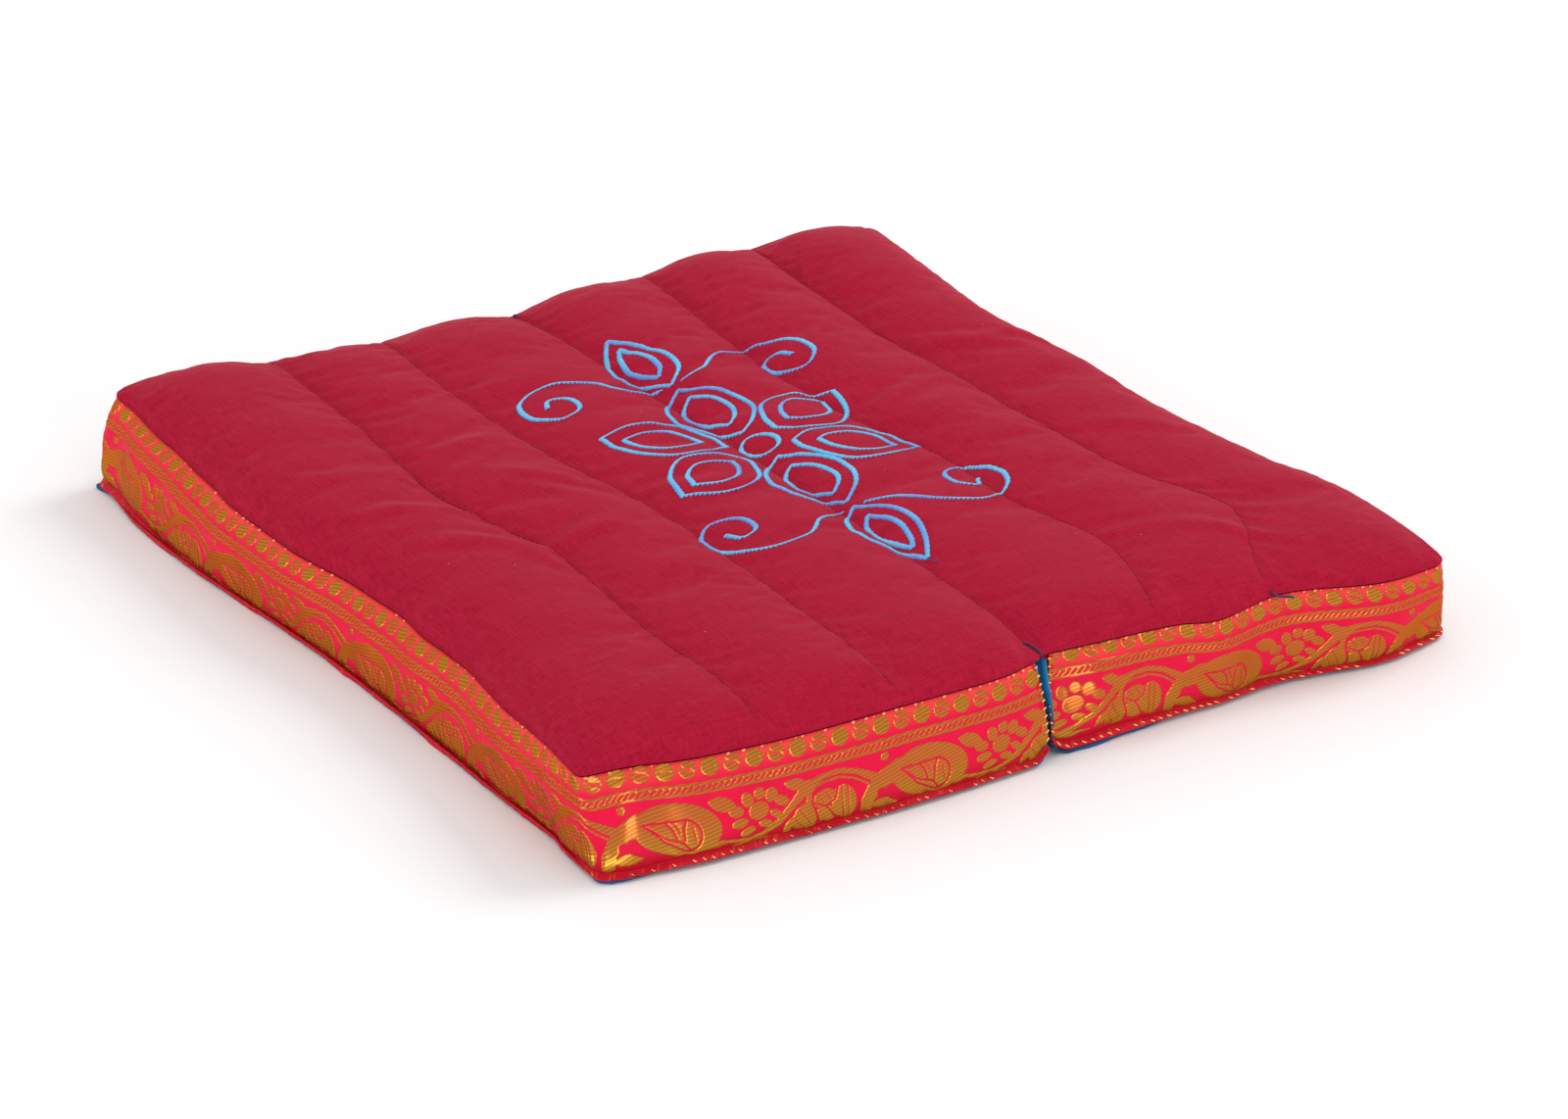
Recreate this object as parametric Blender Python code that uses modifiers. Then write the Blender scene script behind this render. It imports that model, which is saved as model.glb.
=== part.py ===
# Folding yoga cushion, opened out flat.
# Two channelled halves hang together by one top panel. Each half has a woven band round its three outer
# sides, and a base cloth that turns up into the fold. Metres, +Z up, the fold runs along Y near X = 0, and
# the cushion lies on Z = 0. The near side is -Y.

import math
from collections import namedtuple

import bmesh
import bpy

MM = 0.001
LEFT, RIGHT = -1, 1

# Driving sizes
HALF_WIDTH = 190 * MM
HALF_LENGTH = 195 * MM
CLOTH = 1.2 * MM
CLEARANCE = 0.3 * MM
SIDE_CLEARANCE = 0.4 * MM
OUTER_CORNER = 7 * MM

# The lip of the top panel, which stands over the band's upper edge
LIP = 0.8 * MM

# The fold: half its gap low and high, and the bend and top of the cloth turned up in it. The slot in the
# filling ends under the top panel.
FOLD_GAP_LOW = 3.4 * MM
FOLD_GAP_HIGH = 1.5 * MM
FOLD_BEND = 6 * MM
FOLD_TOP = 36.0 * MM
SLOT_TOP = 37.4 * MM
SLOT_REACH = 230 * MM
SLOT_STEPS = 4
SLOT_ROWS = 12
BEND_STEPS = 4

# The column, counted from the fold, where the base cloth's flat part starts
FIRST_FLAT_COLUMN = 2

# Where the band stops beside the fold, and how far the base cloth shows past the foot of the band
BAND_END = 3.0 * MM
BASE_SHOWS = 0.3 * MM

# The filled top: how far in from the outer seams it rolls over, and the powers that shape the roll and the
# arch of a channel
EDGE_ROLL = 42 * MM
ROLL_POWER = 2.2
ARCH_POWER = 2.0
ARCH_SOFTNESS = 0.95
OUTER_CHANNEL = 2

# How soon the seam's height turns from an end's to a side's near a corner
CORNER_POWER = 8

# Outer edges in millimetres: how far the top seam and the foot stand out past HALF_WIDTH or HALF_LENGTH,
# and how high the top seam is, at a place along the edge.
Edge = namedtuple("Edge", "along seam_out foot_out height")
NEAR_EDGE = {
    LEFT: (
        Edge(0, -5, 1, 38.0),
        Edge(20, 1, 6.5, 38.0),
        Edge(60, 2.5, 9, 38.0),
        Edge(110, 2, 9.5, 38.0),
        Edge(145, -1, 9.5, 38.0),
        Edge(165, -7, 6, 38.0),
        Edge(190, -9, 1.5, 38.0),
    ),
    RIGHT: (
        Edge(0, -8, -1.5, 38.0),
        Edge(20, -6, 1, 38.0),
        Edge(60, -3.5, -2, 38.0),
        Edge(78, -1.5, -2.5, 36.5),
        Edge(112, -6, -5.5, 38.0),
        Edge(155, 0.5, -0.5, 35.5),
        Edge(190, -3, -9.5, 34.5),
    ),
}
FAR_EDGE = {
    LEFT: (
        Edge(0, -2, 1, 38.0),
        Edge(35, 0, 5, 38.0),
        Edge(75, -3, 5, 38.0),
        Edge(110, -1, 6, 38.5),
        Edge(150, 3, 8, 40.0),
        Edge(190, 1, 4, 41.0),
    ),
    RIGHT: (
        Edge(0, -2, 1, 38.0),
        Edge(30, 4, 6, 38.5),
        Edge(60, 6, 8, 39.0),
        Edge(100, 8.5, 9, 40.0),
        Edge(150, 9, 9.5, 41.0),
        Edge(190, 7, 5, 41.0),
    ),
}
SIDE_EDGE = {
    LEFT: (
        Edge(-195, 3, 1.5, 38.0),
        Edge(-145, -0.5, -1, 38.0),
        Edge(-105, -6, -0.5, 38.0),
        Edge(-50, -2, -0.5, 38.0),
        Edge(5, -1, 0.5, 38.0),
        Edge(50, 5, 4, 38.0),
        Edge(100, 7, 9, 38.0),
        Edge(145, 1, 10, 39.0),
        Edge(195, 2, 9, 41.0),
    ),
    RIGHT: (
        Edge(-195, 0, 5, 34.5),
        Edge(-130, 2, 10, 36.0),
        Edge(-95, -5, 3, 37.0),
        Edge(-60, -11, -4, 38.0),
        Edge(-10, -15, -8, 38.0),
        Edge(35, -15, -8, 38.0),
        Edge(80, -20, -11, 38.0),
        Edge(120, -17, -9, 38.5),
        Edge(160, -14, -6, 40.0),
        Edge(195, -10, -2, 41.0),
    ),
}

# How far the fold lies to the right of X = 0, in millimetres, at a place along it
FoldLine = namedtuple("FoldLine", "along shift")
FOLD_LINE = (
    FoldLine(-195, 0.0),
    FoldLine(-100, -1.5),
    FoldLine(0, -3.5),
    FoldLine(100, -6.0),
    FoldLine(195, -6.5),
)

# Channel seams in millimetres: how far the first and second seam of a half lie from the fold.
Seams = namedtuple("Seams", "along first second")
CHANNEL_SEAMS = {
    LEFT: (
        Seams(-195, 65, 120),
        Seams(-153, 64, 121),
        Seams(-103, 64, 125),
        Seams(-43, 63.5, 121),
        Seams(5, 66, 128),
        Seams(42, 69, 128),
        Seams(92, 71, 122.5),
        Seams(147, 71, 122),
        Seams(195, 66, 119),
    ),
    RIGHT: (
        Seams(-195, 51.5, 104),
        Seams(-178, 58.5, 111),
        Seams(-133, 69.5, 130),
        Seams(-83, 65, 124),
        Seams(-33, 68, 125),
        Seams(17, 59, 124.5),
        Seams(67, 58.5, 124.5),
        Seams(92, 60, 125),
        Seams(147, 65, 125.5),
        Seams(195, 70, 128),
    ),
}

# How high the cloth lies where it is sewn down, in millimetres: in the crease over the fold, and along the
# channel seams, which grow shallow towards the near side.
SewnLine = namedtuple("SewnLine", "along fold channel")
SEWN_LINES = (
    SewnLine(-195, 40.0, 47.6),
    SewnLine(-172, 42.5, 47.4),
    SewnLine(-130, 44.4, 46.9),
    SewnLine(-60, 45.2, 46.4),
    SewnLine(60, 45.0, 45.8),
    SewnLine(150, 44.0, 45.2),
    SewnLine(195, 40.5, 44.6),
)

# How high each channel's crest stands, in millimetres above the floor, from the fold outwards.
Crest = namedtuple("Crest", "along inner middle outer")
CHANNEL_CRESTS = {
    LEFT: (
        Crest(-195, 50, 51, 51),
        Crest(0, 50, 51, 51),
        Crest(130, 50, 50, 52),
        Crest(195, 50, 50, 53),
    ),
    RIGHT: (
        Crest(-195, 50, 50, 47),
        Crest(0, 50, 51, 49),
        Crest(130, 51, 53, 53),
        Crest(195, 51, 54, 54),
    ),
}

# Soft ridges that cross the channels where the filling has packed, in millimetres: the middle of each, the
# way it runs in degrees from +X, how far it reaches along and across, and how much it raises the cloth.
Ridge = namedtuple("Ridge", "x y turn reach width rise")
CROSS_RIDGES = (
    Ridge(-152, 57, -8, 20, 7, 0.9),
    Ridge(-150, 17, -15, 20, 7, 1.0),
    Ridge(-148, -20, -25, 24, 8, 1.6),
    Ridge(-128, -47, -70, 14, 6, 0.8),
    Ridge(-95, 64, 5, 14, 6, 1.0),
    Ridge(-89, 21, -42, 16, 6, 1.1),
    Ridge(-91, 4, -58, 18, 6, 0.9),
    Ridge(-108, -33, 5, 22, 6, 1.1),
    Ridge(-55, 110, -20, 12, 8, 0.8),
    Ridge(-40, -16, -15, 22, 9, 0.8),
    Ridge(86, 20, 20, 14, 6, 0.9),
    Ridge(108, -149, -33, 24, 7, 1.6),
    Ridge(142, 57, -30, 15, 7, 0.8),
    Ridge(155, -46, -35, 21, 7, 0.9),
)

# The band's section in millimetres out, at shares of the way from the foot to the seam: a rolled lip, the
# crease of the foot seam over it, and a slight belly. The filling stays inside the crease.
Section = namedtuple("Section", "share out")
BAND_SECTION = (
    Section(0.00, 0.0),
    Section(0.035, 0.9),
    Section(0.10, -0.8),
    Section(0.32, 1.0),
    Section(0.65, 1.6),
    Section(1.00, 0.0),
)
FILLING_SECTION = (Section(0.00, -1.0), *BAND_SECTION[2:])

# Where the columns of a channel and the rows along the fold stand, as shares of their length.
INNER_COLUMNS = (0.0, 0.10, 0.26, 0.50, 0.74, 0.90)
OUTER_COLUMNS = (0.0, 0.10, 0.26, 0.48, 0.68, 0.82, 0.91, 0.97, 1.0)
EDGE_ROWS = (0.0, 0.008, 0.022, 0.045, 0.08, 0.125, 0.18, 0.24)
MIDDLE_ROWS = 24


def clear_scene():
    for thing in list(bpy.data.objects):
        bpy.data.objects.remove(thing, do_unlink=True)


def read_table(rows, along):
    """The row at a place along a table, in metres, on a smooth curve through its rows."""
    place = along / MM
    last = len(rows) - 1
    place = min(max(place, rows[0].along), rows[last].along)
    at = next(i for i in range(last) if place <= rows[i + 1].along)
    before, start, end, after = (rows[min(max(i, 0), last)] for i in (at - 1, at, at + 1, at + 2))
    span = end.along - start.along
    t = (place - start.along) / span
    values = []
    for name in rows[0]._fields[1:]:
        a, b, c, d = (getattr(row, name) for row in (before, start, end, after))
        slope_in = (c - a) / (end.along - before.along) * span
        slope_out = (d - b) / (after.along - start.along) * span
        values.append(
            (2 * t**3 - 3 * t**2 + 1) * b
            + (t**3 - 2 * t**2 + t) * slope_in
            + (3 * t**2 - 2 * t**3) * c
            + (t**3 - t**2) * slope_out
        )
    return [value * MM for value in values]


def blend(a, b, share):
    return a + (b - a) * share


def round_corner(x, y):
    """Moves a place in a half's plan inwards, so that its two outer corners are arcs."""
    over_x = max(0.0, x - (HALF_WIDTH - OUTER_CORNER))
    over_y = max(0.0, abs(y) - (HALF_LENGTH - OUTER_CORNER))
    if over_x == 0 or over_y == 0:
        return x, y
    pull = max(over_x, over_y) / math.hypot(over_x, over_y)
    return (
        HALF_WIDTH - OUTER_CORNER + over_x * pull,
        math.copysign(HALF_LENGTH - OUTER_CORNER + over_y * pull, y),
    )


def plan(half, from_fold, along, share, outset=0.0):
    """(x, y, seam height) of a place in a half, at a share of the way up from the foot to the seam."""
    from_fold, along = round_corner(from_fold, along)
    end_edge = (NEAR_EDGE if along < 0 else FAR_EDGE)[half]
    end_seam, end_foot, end_height = read_table(end_edge, from_fold)
    side_seam, side_foot, side_height = read_table(SIDE_EDGE[half], along)
    side_out = blend(side_foot, side_seam, share) + outset
    end_out = blend(end_foot, end_seam, share) + outset
    to_side = from_fold / HALF_WIDTH
    to_end = along / HALF_LENGTH
    x = half * (from_fold + side_out * to_side) + read_table(FOLD_LINE, along)[0] * (1 - to_side)
    y = along + end_out * to_end
    return x, y, blend(end_height, side_height, to_side**CORNER_POWER)


def edge_roll(distance):
    """The share of the crown reached at a distance in from an edge: steep at the seam, level inside."""
    share = min(max(distance / EDGE_ROLL, 0.0), 1.0)
    return math.sqrt(1 - (1 - share) ** ROLL_POWER)


def channel_place(half, column, along):
    """The distance from the fold of a column, given as channel number plus share across that channel."""
    first, second = read_table(CHANNEL_SEAMS[half], along)
    seams = (0.0, first, second, HALF_WIDTH)
    channel = min(int(column), OUTER_CHANNEL)
    return blend(seams[channel], seams[channel + 1], column - channel)


def cross_ridges(x, y):
    """How much the soft ridges across the channels raise the top at a place."""
    rise = 0.0
    for ridge in CROSS_RIDGES:
        turn = math.radians(ridge.turn)
        dx, dy = x / MM - ridge.x, y / MM - ridge.y
        along = (dx * math.cos(turn) + dy * math.sin(turn)) / ridge.reach
        across = (dy * math.cos(turn) - dx * math.sin(turn)) / ridge.width
        rise += ridge.rise * math.exp(-(along**2) - across**2)
    return rise * MM


def channel_arch(channel, share):
    """From 0 at a sewn line to 1 at the crest. The outer channel keeps its crest up to the edge's roll."""
    if channel == OUTER_CHANNEL and share > 0.5:
        return 1.0
    return (1 - abs(2 * share - 1) ** ARCH_POWER) ** ARCH_SOFTNESS


def top_height(half, column, along, seam_height):
    """The height of the top panel over a column of a half."""
    channel = min(int(column), OUTER_CHANNEL)
    share = column - channel
    crest = read_table(CHANNEL_CRESTS[half], along)[channel]
    fold_line, channel_line = read_table(SEWN_LINES, along)
    inner_line = fold_line if channel == 0 else channel_line
    filled = blend(blend(inner_line, channel_line, share), crest, channel_arch(channel, share))
    from_fold = channel_place(half, column, along)
    filled += cross_ridges(half * from_fold, along)
    roll = edge_roll(HALF_WIDTH - from_fold) * edge_roll(HALF_LENGTH - abs(along))
    return blend(seam_height + CLEARANCE + LIP, filled, roll)


def columns_of_a_half():
    inner = [channel + share for channel in range(OUTER_CHANNEL) for share in INNER_COLUMNS]
    return inner + [OUTER_CHANNEL + share for share in OUTER_COLUMNS]


def rows_along_the_fold():
    """Places along Y, closer together at the two ends."""
    near = [blend(-HALF_LENGTH, HALF_LENGTH, share) for share in EDGE_ROWS]
    far = [-place for place in reversed(near)]
    middle = [blend(near[-1], far[0], step / MIDDLE_ROWS) for step in range(1, MIDDLE_ROWS)]
    return near + middle + far


def grid_block(columns, rows, levels):
    """A cube whose faces are cut into a grid; its corners run from 0 to the number of steps each way."""
    mesh = bmesh.new()
    bmesh.ops.create_cube(mesh, size=1.0)
    bmesh.ops.translate(mesh, verts=mesh.verts, vec=(0.5, 0.5, 0.5))
    for axis, steps in enumerate((columns, rows, levels)):
        across = [
            edge
            for edge in mesh.edges
            if abs(edge.verts[0].co[axis] - edge.verts[1].co[axis]) > 0.5
        ]
        if steps > 1:
            bmesh.ops.subdivide_edges(mesh, edges=across, cuts=steps - 1, use_grid_fill=True)
    for vert in mesh.verts:
        vert.co = [place * steps for place, steps in zip(vert.co, (columns, rows, levels))]
    return mesh


def grid_sheet(columns, rows):
    """An open grid whose corners run from 0 to the number of steps each way."""
    mesh = bmesh.new()
    bmesh.ops.create_grid(mesh, x_segments=columns, y_segments=rows, size=0.5)
    for vert in mesh.verts:
        vert.co = ((vert.co.x + 0.5) * columns, (vert.co.y + 0.5) * rows, 0)
    return mesh


def new_object(name, mesh, material, collection):
    data = bpy.data.meshes.new(name)
    mesh.to_mesh(data)
    mesh.free()
    data.shade_smooth()
    thing = bpy.data.objects.new(name, data)
    if material:
        thing.data.materials.append(material)
    collection.objects.link(thing)
    return thing


def cotton(name, colour, roughness, metallic=0.0):
    material = bpy.data.materials.new(name)
    material.use_nodes = True
    shader = material.node_tree.nodes["Principled BSDF"]
    shader.inputs["Base Color"].default_value = (*colour, 1.0)
    shader.inputs["Roughness"].default_value = roughness
    shader.inputs["Metallic"].default_value = metallic
    return material


def cushion_levels():
    """(share, outset, lift) of the side's points from the base up to the lip of the top panel."""
    inset = CLOTH + SIDE_CLEARANCE
    lower = [(section.share, section.out * MM - inset, 0.0) for section in FILLING_SECTION]
    return lower + [(1.0, -inset, CLEARANCE), (1.0, 0.0, CLEARANCE), (1.0, 0.0, CLEARANCE + LIP)]


def make_cushion(material, collection, slot):
    """The filled solid: both halves under the one top panel, with the slot of the fold cut from below."""
    half_columns = columns_of_a_half()
    columns = [-c for c in reversed(half_columns[1:])] + half_columns
    rows = rows_along_the_fold()
    levels = cushion_levels()
    floor = CLOTH + CLEARANCE
    mesh = grid_block(len(columns) - 1, len(rows) - 1, len(levels) - 1)
    for vert in mesh.verts:
        column, along, level = (
            table[round(place)] for table, place in zip((columns, rows, levels), vert.co)
        )
        half = LEFT if column < 0 else RIGHT
        share, outset, lift = level
        from_fold = channel_place(half, abs(column), along)
        x, y, seam_height = plan(half, from_fold, along, share, outset)
        on_top = round(vert.co.z) == len(levels) - 1
        z = blend(floor, seam_height, share) + lift
        if on_top:
            z = top_height(half, abs(column), along, seam_height)
        vert.co = (x, y, z)
    thing = new_object("cushion", mesh, material, collection)
    cut = thing.modifiers.new("fold slot", "BOOLEAN")
    cut.operation = "DIFFERENCE"
    cut.object = slot
    return thing


def fold_wall_place(height):
    """How far the wall's face stands from the middle of the fold at a height above the floor."""
    return blend(FOLD_GAP_LOW, FOLD_GAP_HIGH, max(height - FOLD_BEND, 0) / (FOLD_TOP - FOLD_BEND))


def slot_half_width(height):
    """Half the slot's width at a height: past the base cloth's wall, and past its bend lower down."""
    spare = CLOTH + CLEARANCE
    if height >= FOLD_BEND:
        return fold_wall_place(height) + spare
    radius = FOLD_BEND - spare
    drop = min(FOLD_BEND - height, radius)
    return FOLD_GAP_LOW + FOLD_BEND - math.sqrt(radius**2 - drop**2)


def make_slot_cutter(collection):
    """A wedge along the fold that leaves room for the two base cloths turned up in it."""
    floor = CLOTH + CLEARANCE
    bend = [blend(floor, FOLD_BEND, step / SLOT_STEPS) for step in range(SLOT_STEPS + 1)]
    heights = [-CLOTH, *bend, SLOT_TOP]
    mesh = grid_block(1, SLOT_ROWS, len(heights) - 1)
    for vert in mesh.verts:
        height = heights[round(vert.co.z)]
        side = blend(LEFT, RIGHT, vert.co.x)
        y = blend(-SLOT_REACH, SLOT_REACH, vert.co.y / SLOT_ROWS)
        middle = read_table(FOLD_LINE, y)[0]
        vert.co = (middle + side * slot_half_width(height), y, height)
    cutter = new_object("fold_slot_cutter", mesh, None, collection)
    cutter.hide_render = True
    cutter.display_type = "WIRE"
    return cutter


def make_cloth(half, name, mesh, material, collection):
    """A sheet from its outer face, a grid laid out for the right half. The cloth lies behind it."""
    if half == LEFT:
        bmesh.ops.reverse_faces(mesh, faces=mesh.faces)
    thing = new_object(name, mesh, material, collection)
    shell = thing.modifiers.new("cloth thickness", "SOLIDIFY")
    shell.thickness = CLOTH
    shell.offset = -1.0
    shell.use_even_offset = True
    return thing


def make_band(half, name, material, collection):
    """The woven band: a ribbon round the three outer sides of a half, from the fold to the fold."""
    columns = columns_of_a_half()
    rows = rows_along_the_fold()
    near = [(column, rows[0]) for column in columns]
    side = [(columns[-1], row) for row in rows[1:-1]]
    far = [(column, rows[-1]) for column in reversed(columns)]
    path = near + side + far
    foot = CLOTH + CLEARANCE
    mesh = grid_sheet(len(path) - 1, len(BAND_SECTION) - 1)
    for vert in mesh.verts:
        column, along = path[round(vert.co.x)]
        section = BAND_SECTION[round(vert.co.y)]
        from_fold = max(channel_place(half, column, along), BAND_END)
        x, y, seam_height = plan(half, from_fold, along, section.share, section.out * MM)
        vert.co = (x, y, blend(foot, seam_height, section.share))
    return make_cloth(half, name, mesh, material, collection)


def make_base(half, name, material, collection):
    """The base cloth: flat under a half, then bent up as the wall of the fold."""
    rows = rows_along_the_fold()
    flat = list(reversed(columns_of_a_half()[FIRST_FLAT_COLUMN:]))
    inner_x = FOLD_GAP_LOW + FOLD_BEND
    bend = []
    for step in range(BEND_STEPS + 1):
        angle = math.pi / 2 * step / BEND_STEPS
        bend.append((inner_x - FOLD_BEND * math.sin(angle), FOLD_BEND * (1 - math.cos(angle))))
    wall = bend + [(fold_wall_place(height), height) for height in (FOLD_TOP / 2, FOLD_TOP)]
    mesh = grid_sheet(len(flat) + len(wall) - 1, len(rows) - 1)
    for vert in mesh.verts:
        step, along = round(vert.co.x), rows[round(vert.co.y)]
        if step < len(flat):
            from_fold, height = channel_place(half, flat[step], along), 0.0
            outset = BASE_SHOWS
        else:
            from_fold, height = wall[step - len(flat)]
            outset = -(CLOTH + SIDE_CLEARANCE + CLEARANCE)
        x, y, _ = plan(half, from_fold, along, height / FOLD_TOP, outset)
        vert.co = (x, y, height)
    return make_cloth(half, name, mesh, material, collection)


def main():
    clear_scene()
    pieces = bpy.data.collections.new("folding_yoga_cushion")
    cutters = bpy.data.collections.new("cutters")
    bpy.context.scene.collection.children.link(pieces)
    bpy.context.scene.collection.children.link(cutters)
    crimson = cotton("crimson_cotton", (0.41, 0.012, 0.035), 0.85)
    brocade = cotton("brocade_band", (0.78, 0.12, 0.09), 0.45)
    blue = cotton("blue_cotton", (0.03, 0.13, 0.32), 0.85)
    slot = make_slot_cutter(cutters)
    make_cushion(crimson, pieces, slot)
    make_band(LEFT, "band_left", brocade, pieces)
    make_band(RIGHT, "band_right", brocade, pieces)
    make_base(LEFT, "base_left", blue, pieces)
    make_base(RIGHT, "base_right", blue, pieces)


main()
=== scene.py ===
import math
from collections import namedtuple

import bmesh
import bpy
import numpy as np
from mathutils import Matrix, Vector
from mathutils.bvhtree import BVHTree


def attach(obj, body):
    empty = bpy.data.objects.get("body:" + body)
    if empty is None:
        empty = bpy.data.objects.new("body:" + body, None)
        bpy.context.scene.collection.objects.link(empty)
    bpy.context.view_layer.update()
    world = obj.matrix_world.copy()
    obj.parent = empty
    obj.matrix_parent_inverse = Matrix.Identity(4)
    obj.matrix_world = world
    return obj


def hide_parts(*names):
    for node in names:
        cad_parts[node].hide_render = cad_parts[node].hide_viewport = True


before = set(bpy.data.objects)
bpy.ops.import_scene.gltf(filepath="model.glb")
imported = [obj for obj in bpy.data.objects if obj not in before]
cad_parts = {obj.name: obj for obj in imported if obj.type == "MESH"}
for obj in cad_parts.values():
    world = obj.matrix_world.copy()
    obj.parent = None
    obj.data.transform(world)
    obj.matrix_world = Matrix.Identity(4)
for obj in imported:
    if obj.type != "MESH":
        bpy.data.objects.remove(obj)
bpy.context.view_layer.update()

# Base cloth: plain blue cotton under each half, cut a little larger than the filling. At the fold it
# turns up as a wall and is sewn to the underside of the top panel; its raw edge shows past the band's foot.

MM = 0.001
LEFT, RIGHT = -1, 1
HALF_WIDTH = 190 * MM
HALF_LENGTH = 195 * MM
OUTER_CORNER = 7 * MM
NEAR_CORNER = {LEFT: 4 * MM, RIGHT: 7 * MM}
GAPE_LOW, GAPE_HIGH = -1.5 * MM, 1.8 * MM
GAPE_START, GAPE_REACH = 1.5 * MM, 14 * MM
CORNER_POWER = 8
CLOTH = 1.2 * MM
CLEARANCE = 0.3 * MM

# Outer edges in millimetres: how far the top seam and the foot stand out past HALF_WIDTH or HALF_LENGTH,
# and how high the top seam is, at a place along the edge. Most are the frame's own sizes. Along the left
# side they lie up to 7 mm from those, and beside the near edge up to 4 mm, to draw the cloth more closely.
Edge = namedtuple("Edge", "along seam_out foot_out height")
NEAR_EDGE = {
    LEFT: (
        Edge(0, -4.6, 4.5, 38), Edge(20, 1, 6.5, 38), Edge(60, 2.5, 9, 38), Edge(110, 2, 9.5, 37),
        Edge(145, -1, 9.5, 36.8), Edge(158, -2.2, 8.6, 37.8), Edge(170, -5, 6.8, 38.8),
        Edge(180, -7.4, 6.2, 38.8), Edge(190, -9.8, 3.4, 36.8),
    ),
    RIGHT: (
        Edge(0, -7, 1, 38), Edge(20, -6, 1, 38), Edge(60, -3.5, -2, 38), Edge(78, -1.5, -2.5, 36.5),
        Edge(112, -6, -5.5, 38), Edge(155, 0.5, -0.5, 35.5), Edge(190, -3, -8.4, 34.5),
    ),
}
FAR_EDGE = {
    LEFT: (
        Edge(0, -2, 1, 38), Edge(35, 0, 5, 38), Edge(75, -3, 5, 38), Edge(110, -1, 6, 38.5),
        Edge(150, 3, 8, 40), Edge(190, 1, 4, 41),
    ),
    RIGHT: (
        Edge(0, -2, 1, 38), Edge(30, 4, 6, 38.5), Edge(60, 6, 8, 39), Edge(100, 8.5, 9, 40),
        Edge(150, 9, 9.5, 41), Edge(190, 7, 5, 41),
    ),
}
SIDE_EDGE = {
    LEFT: (
        Edge(-195, 3, 1.5, 36), Edge(-170, 0.2, 0, 36.2), Edge(-160, -0.9, -1.6, 35.8),
        Edge(-144, -2.4, -1.6, 34.9), Edge(-130, -3.2, -0.8, 34.3), Edge(-118, -4.6, -0.5, 34),
        Edge(-104, -6.6, -0.5, 33.8), Edge(-92, -7.9, -0.5, 33.8), Edge(-72, -7.6, -0.5, 33.8),
        Edge(-56, -7.2, -0.5, 33.7), Edge(-38, -8.8, -0.4, 33.6), Edge(-16, -7.2, 0, 33.6),
        Edge(3, -5.6, 0.5, 33.6), Edge(18, -2.8, 1.4, 33.6), Edge(34, 0, 2.6, 33.7),
        Edge(52, 0.9, 4.2, 33.8), Edge(87, 1.8, 7.8, 34), Edge(102, 0.3, 9, 34.3),
        Edge(120, -0.2, 9.7, 34.9), Edge(137, -1.4, 10, 35.5), Edge(155, -1, 9.6, 36.4),
        Edge(178, -1.4, 7, 38.4), Edge(195, 0.6, 7.2, 40.5),
    ),
    RIGHT: (
        Edge(-195, 0, 6.6, 34.5), Edge(-130, 2, 10, 36), Edge(-95, -5, 3, 37), Edge(-60, -11, -4, 38),
        Edge(-10, -15, -8, 38), Edge(35, -15, -8, 38), Edge(80, -20, -11, 38), Edge(120, -17, -9, 38.5),
        Edge(160, -14, -6, 40), Edge(195, -10, -2, 41),
    ),
}

# How far the fold lies to the right of X = 0, in millimetres, at a place along it.
FoldLine = namedtuple("FoldLine", "along shift")
FOLD_LINE = (
    FoldLine(-195, 1.2), FoldLine(-182, 0), FoldLine(-150, -0.9), FoldLine(-100, -1.5),
    FoldLine(0, -3.5), FoldLine(100, -6), FoldLine(195, -6.5),
)


def read_table(rows, along):
    """The columns of a table at places along it, in metres, on smooth curves through its rows."""
    knots = np.array(rows, float)
    last = len(knots) - 1
    place = np.clip(np.asarray(along, float) / MM, knots[0, 0], knots[last, 0])
    at = np.clip(np.searchsorted(knots[:, 0], place) - 1, 0, last - 1)
    before, start, end, after = (knots[np.clip(at + step, 0, last)] for step in (-1, 0, 1, 2))
    span = end[..., :1] - start[..., :1]
    t = (place[..., None] - start[..., :1]) / span
    slope_in = (end - before) / (end[..., :1] - before[..., :1]) * span
    slope_out = (after - start) / (after[..., :1] - start[..., :1]) * span
    values = (
        (2 * t**3 - 3 * t**2 + 1) * start
        + (t**3 - 2 * t**2 + t) * slope_in
        + (3 * t**2 - 2 * t**3) * end
        + (t**3 - t**2) * slope_out
    )
    return np.moveaxis(values[..., 1:], -1, 0) * MM


def blend(a, b, share):
    return a + (b - a) * share


def round_corner(half, from_fold, along):
    """Moves places in a half's plan inwards, so that its two outer corners are arcs."""
    radius = np.where(along < 0, NEAR_CORNER[half], OUTER_CORNER)
    over_x = np.maximum(0.0, from_fold - (HALF_WIDTH - radius))
    over_y = np.maximum(0.0, np.abs(along) - (HALF_LENGTH - radius))
    both = (over_x > 0) & (over_y > 0)
    pull = np.where(both, np.maximum(over_x, over_y) / np.where(both, np.hypot(over_x, over_y), 1.0), 1.0)
    return (
        np.where(both, HALF_WIDTH - radius + over_x * pull, from_fold),
        np.where(both, np.sign(along) * (HALF_LENGTH - radius + over_y * pull), along),
    )


def fold_gape(from_fold, along, share):
    """How much further a half stands from the fold at its near end, where the fold gapes at the top."""
    beside_fold = (1 - np.exp(-from_fold / GAPE_START)) * np.exp(-from_fold / GAPE_REACH)
    at_end = np.exp(-np.maximum(along + HALF_LENGTH, 0) / GAPE_REACH)
    return blend(GAPE_LOW, GAPE_HIGH, share) * beside_fold * at_end


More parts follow.
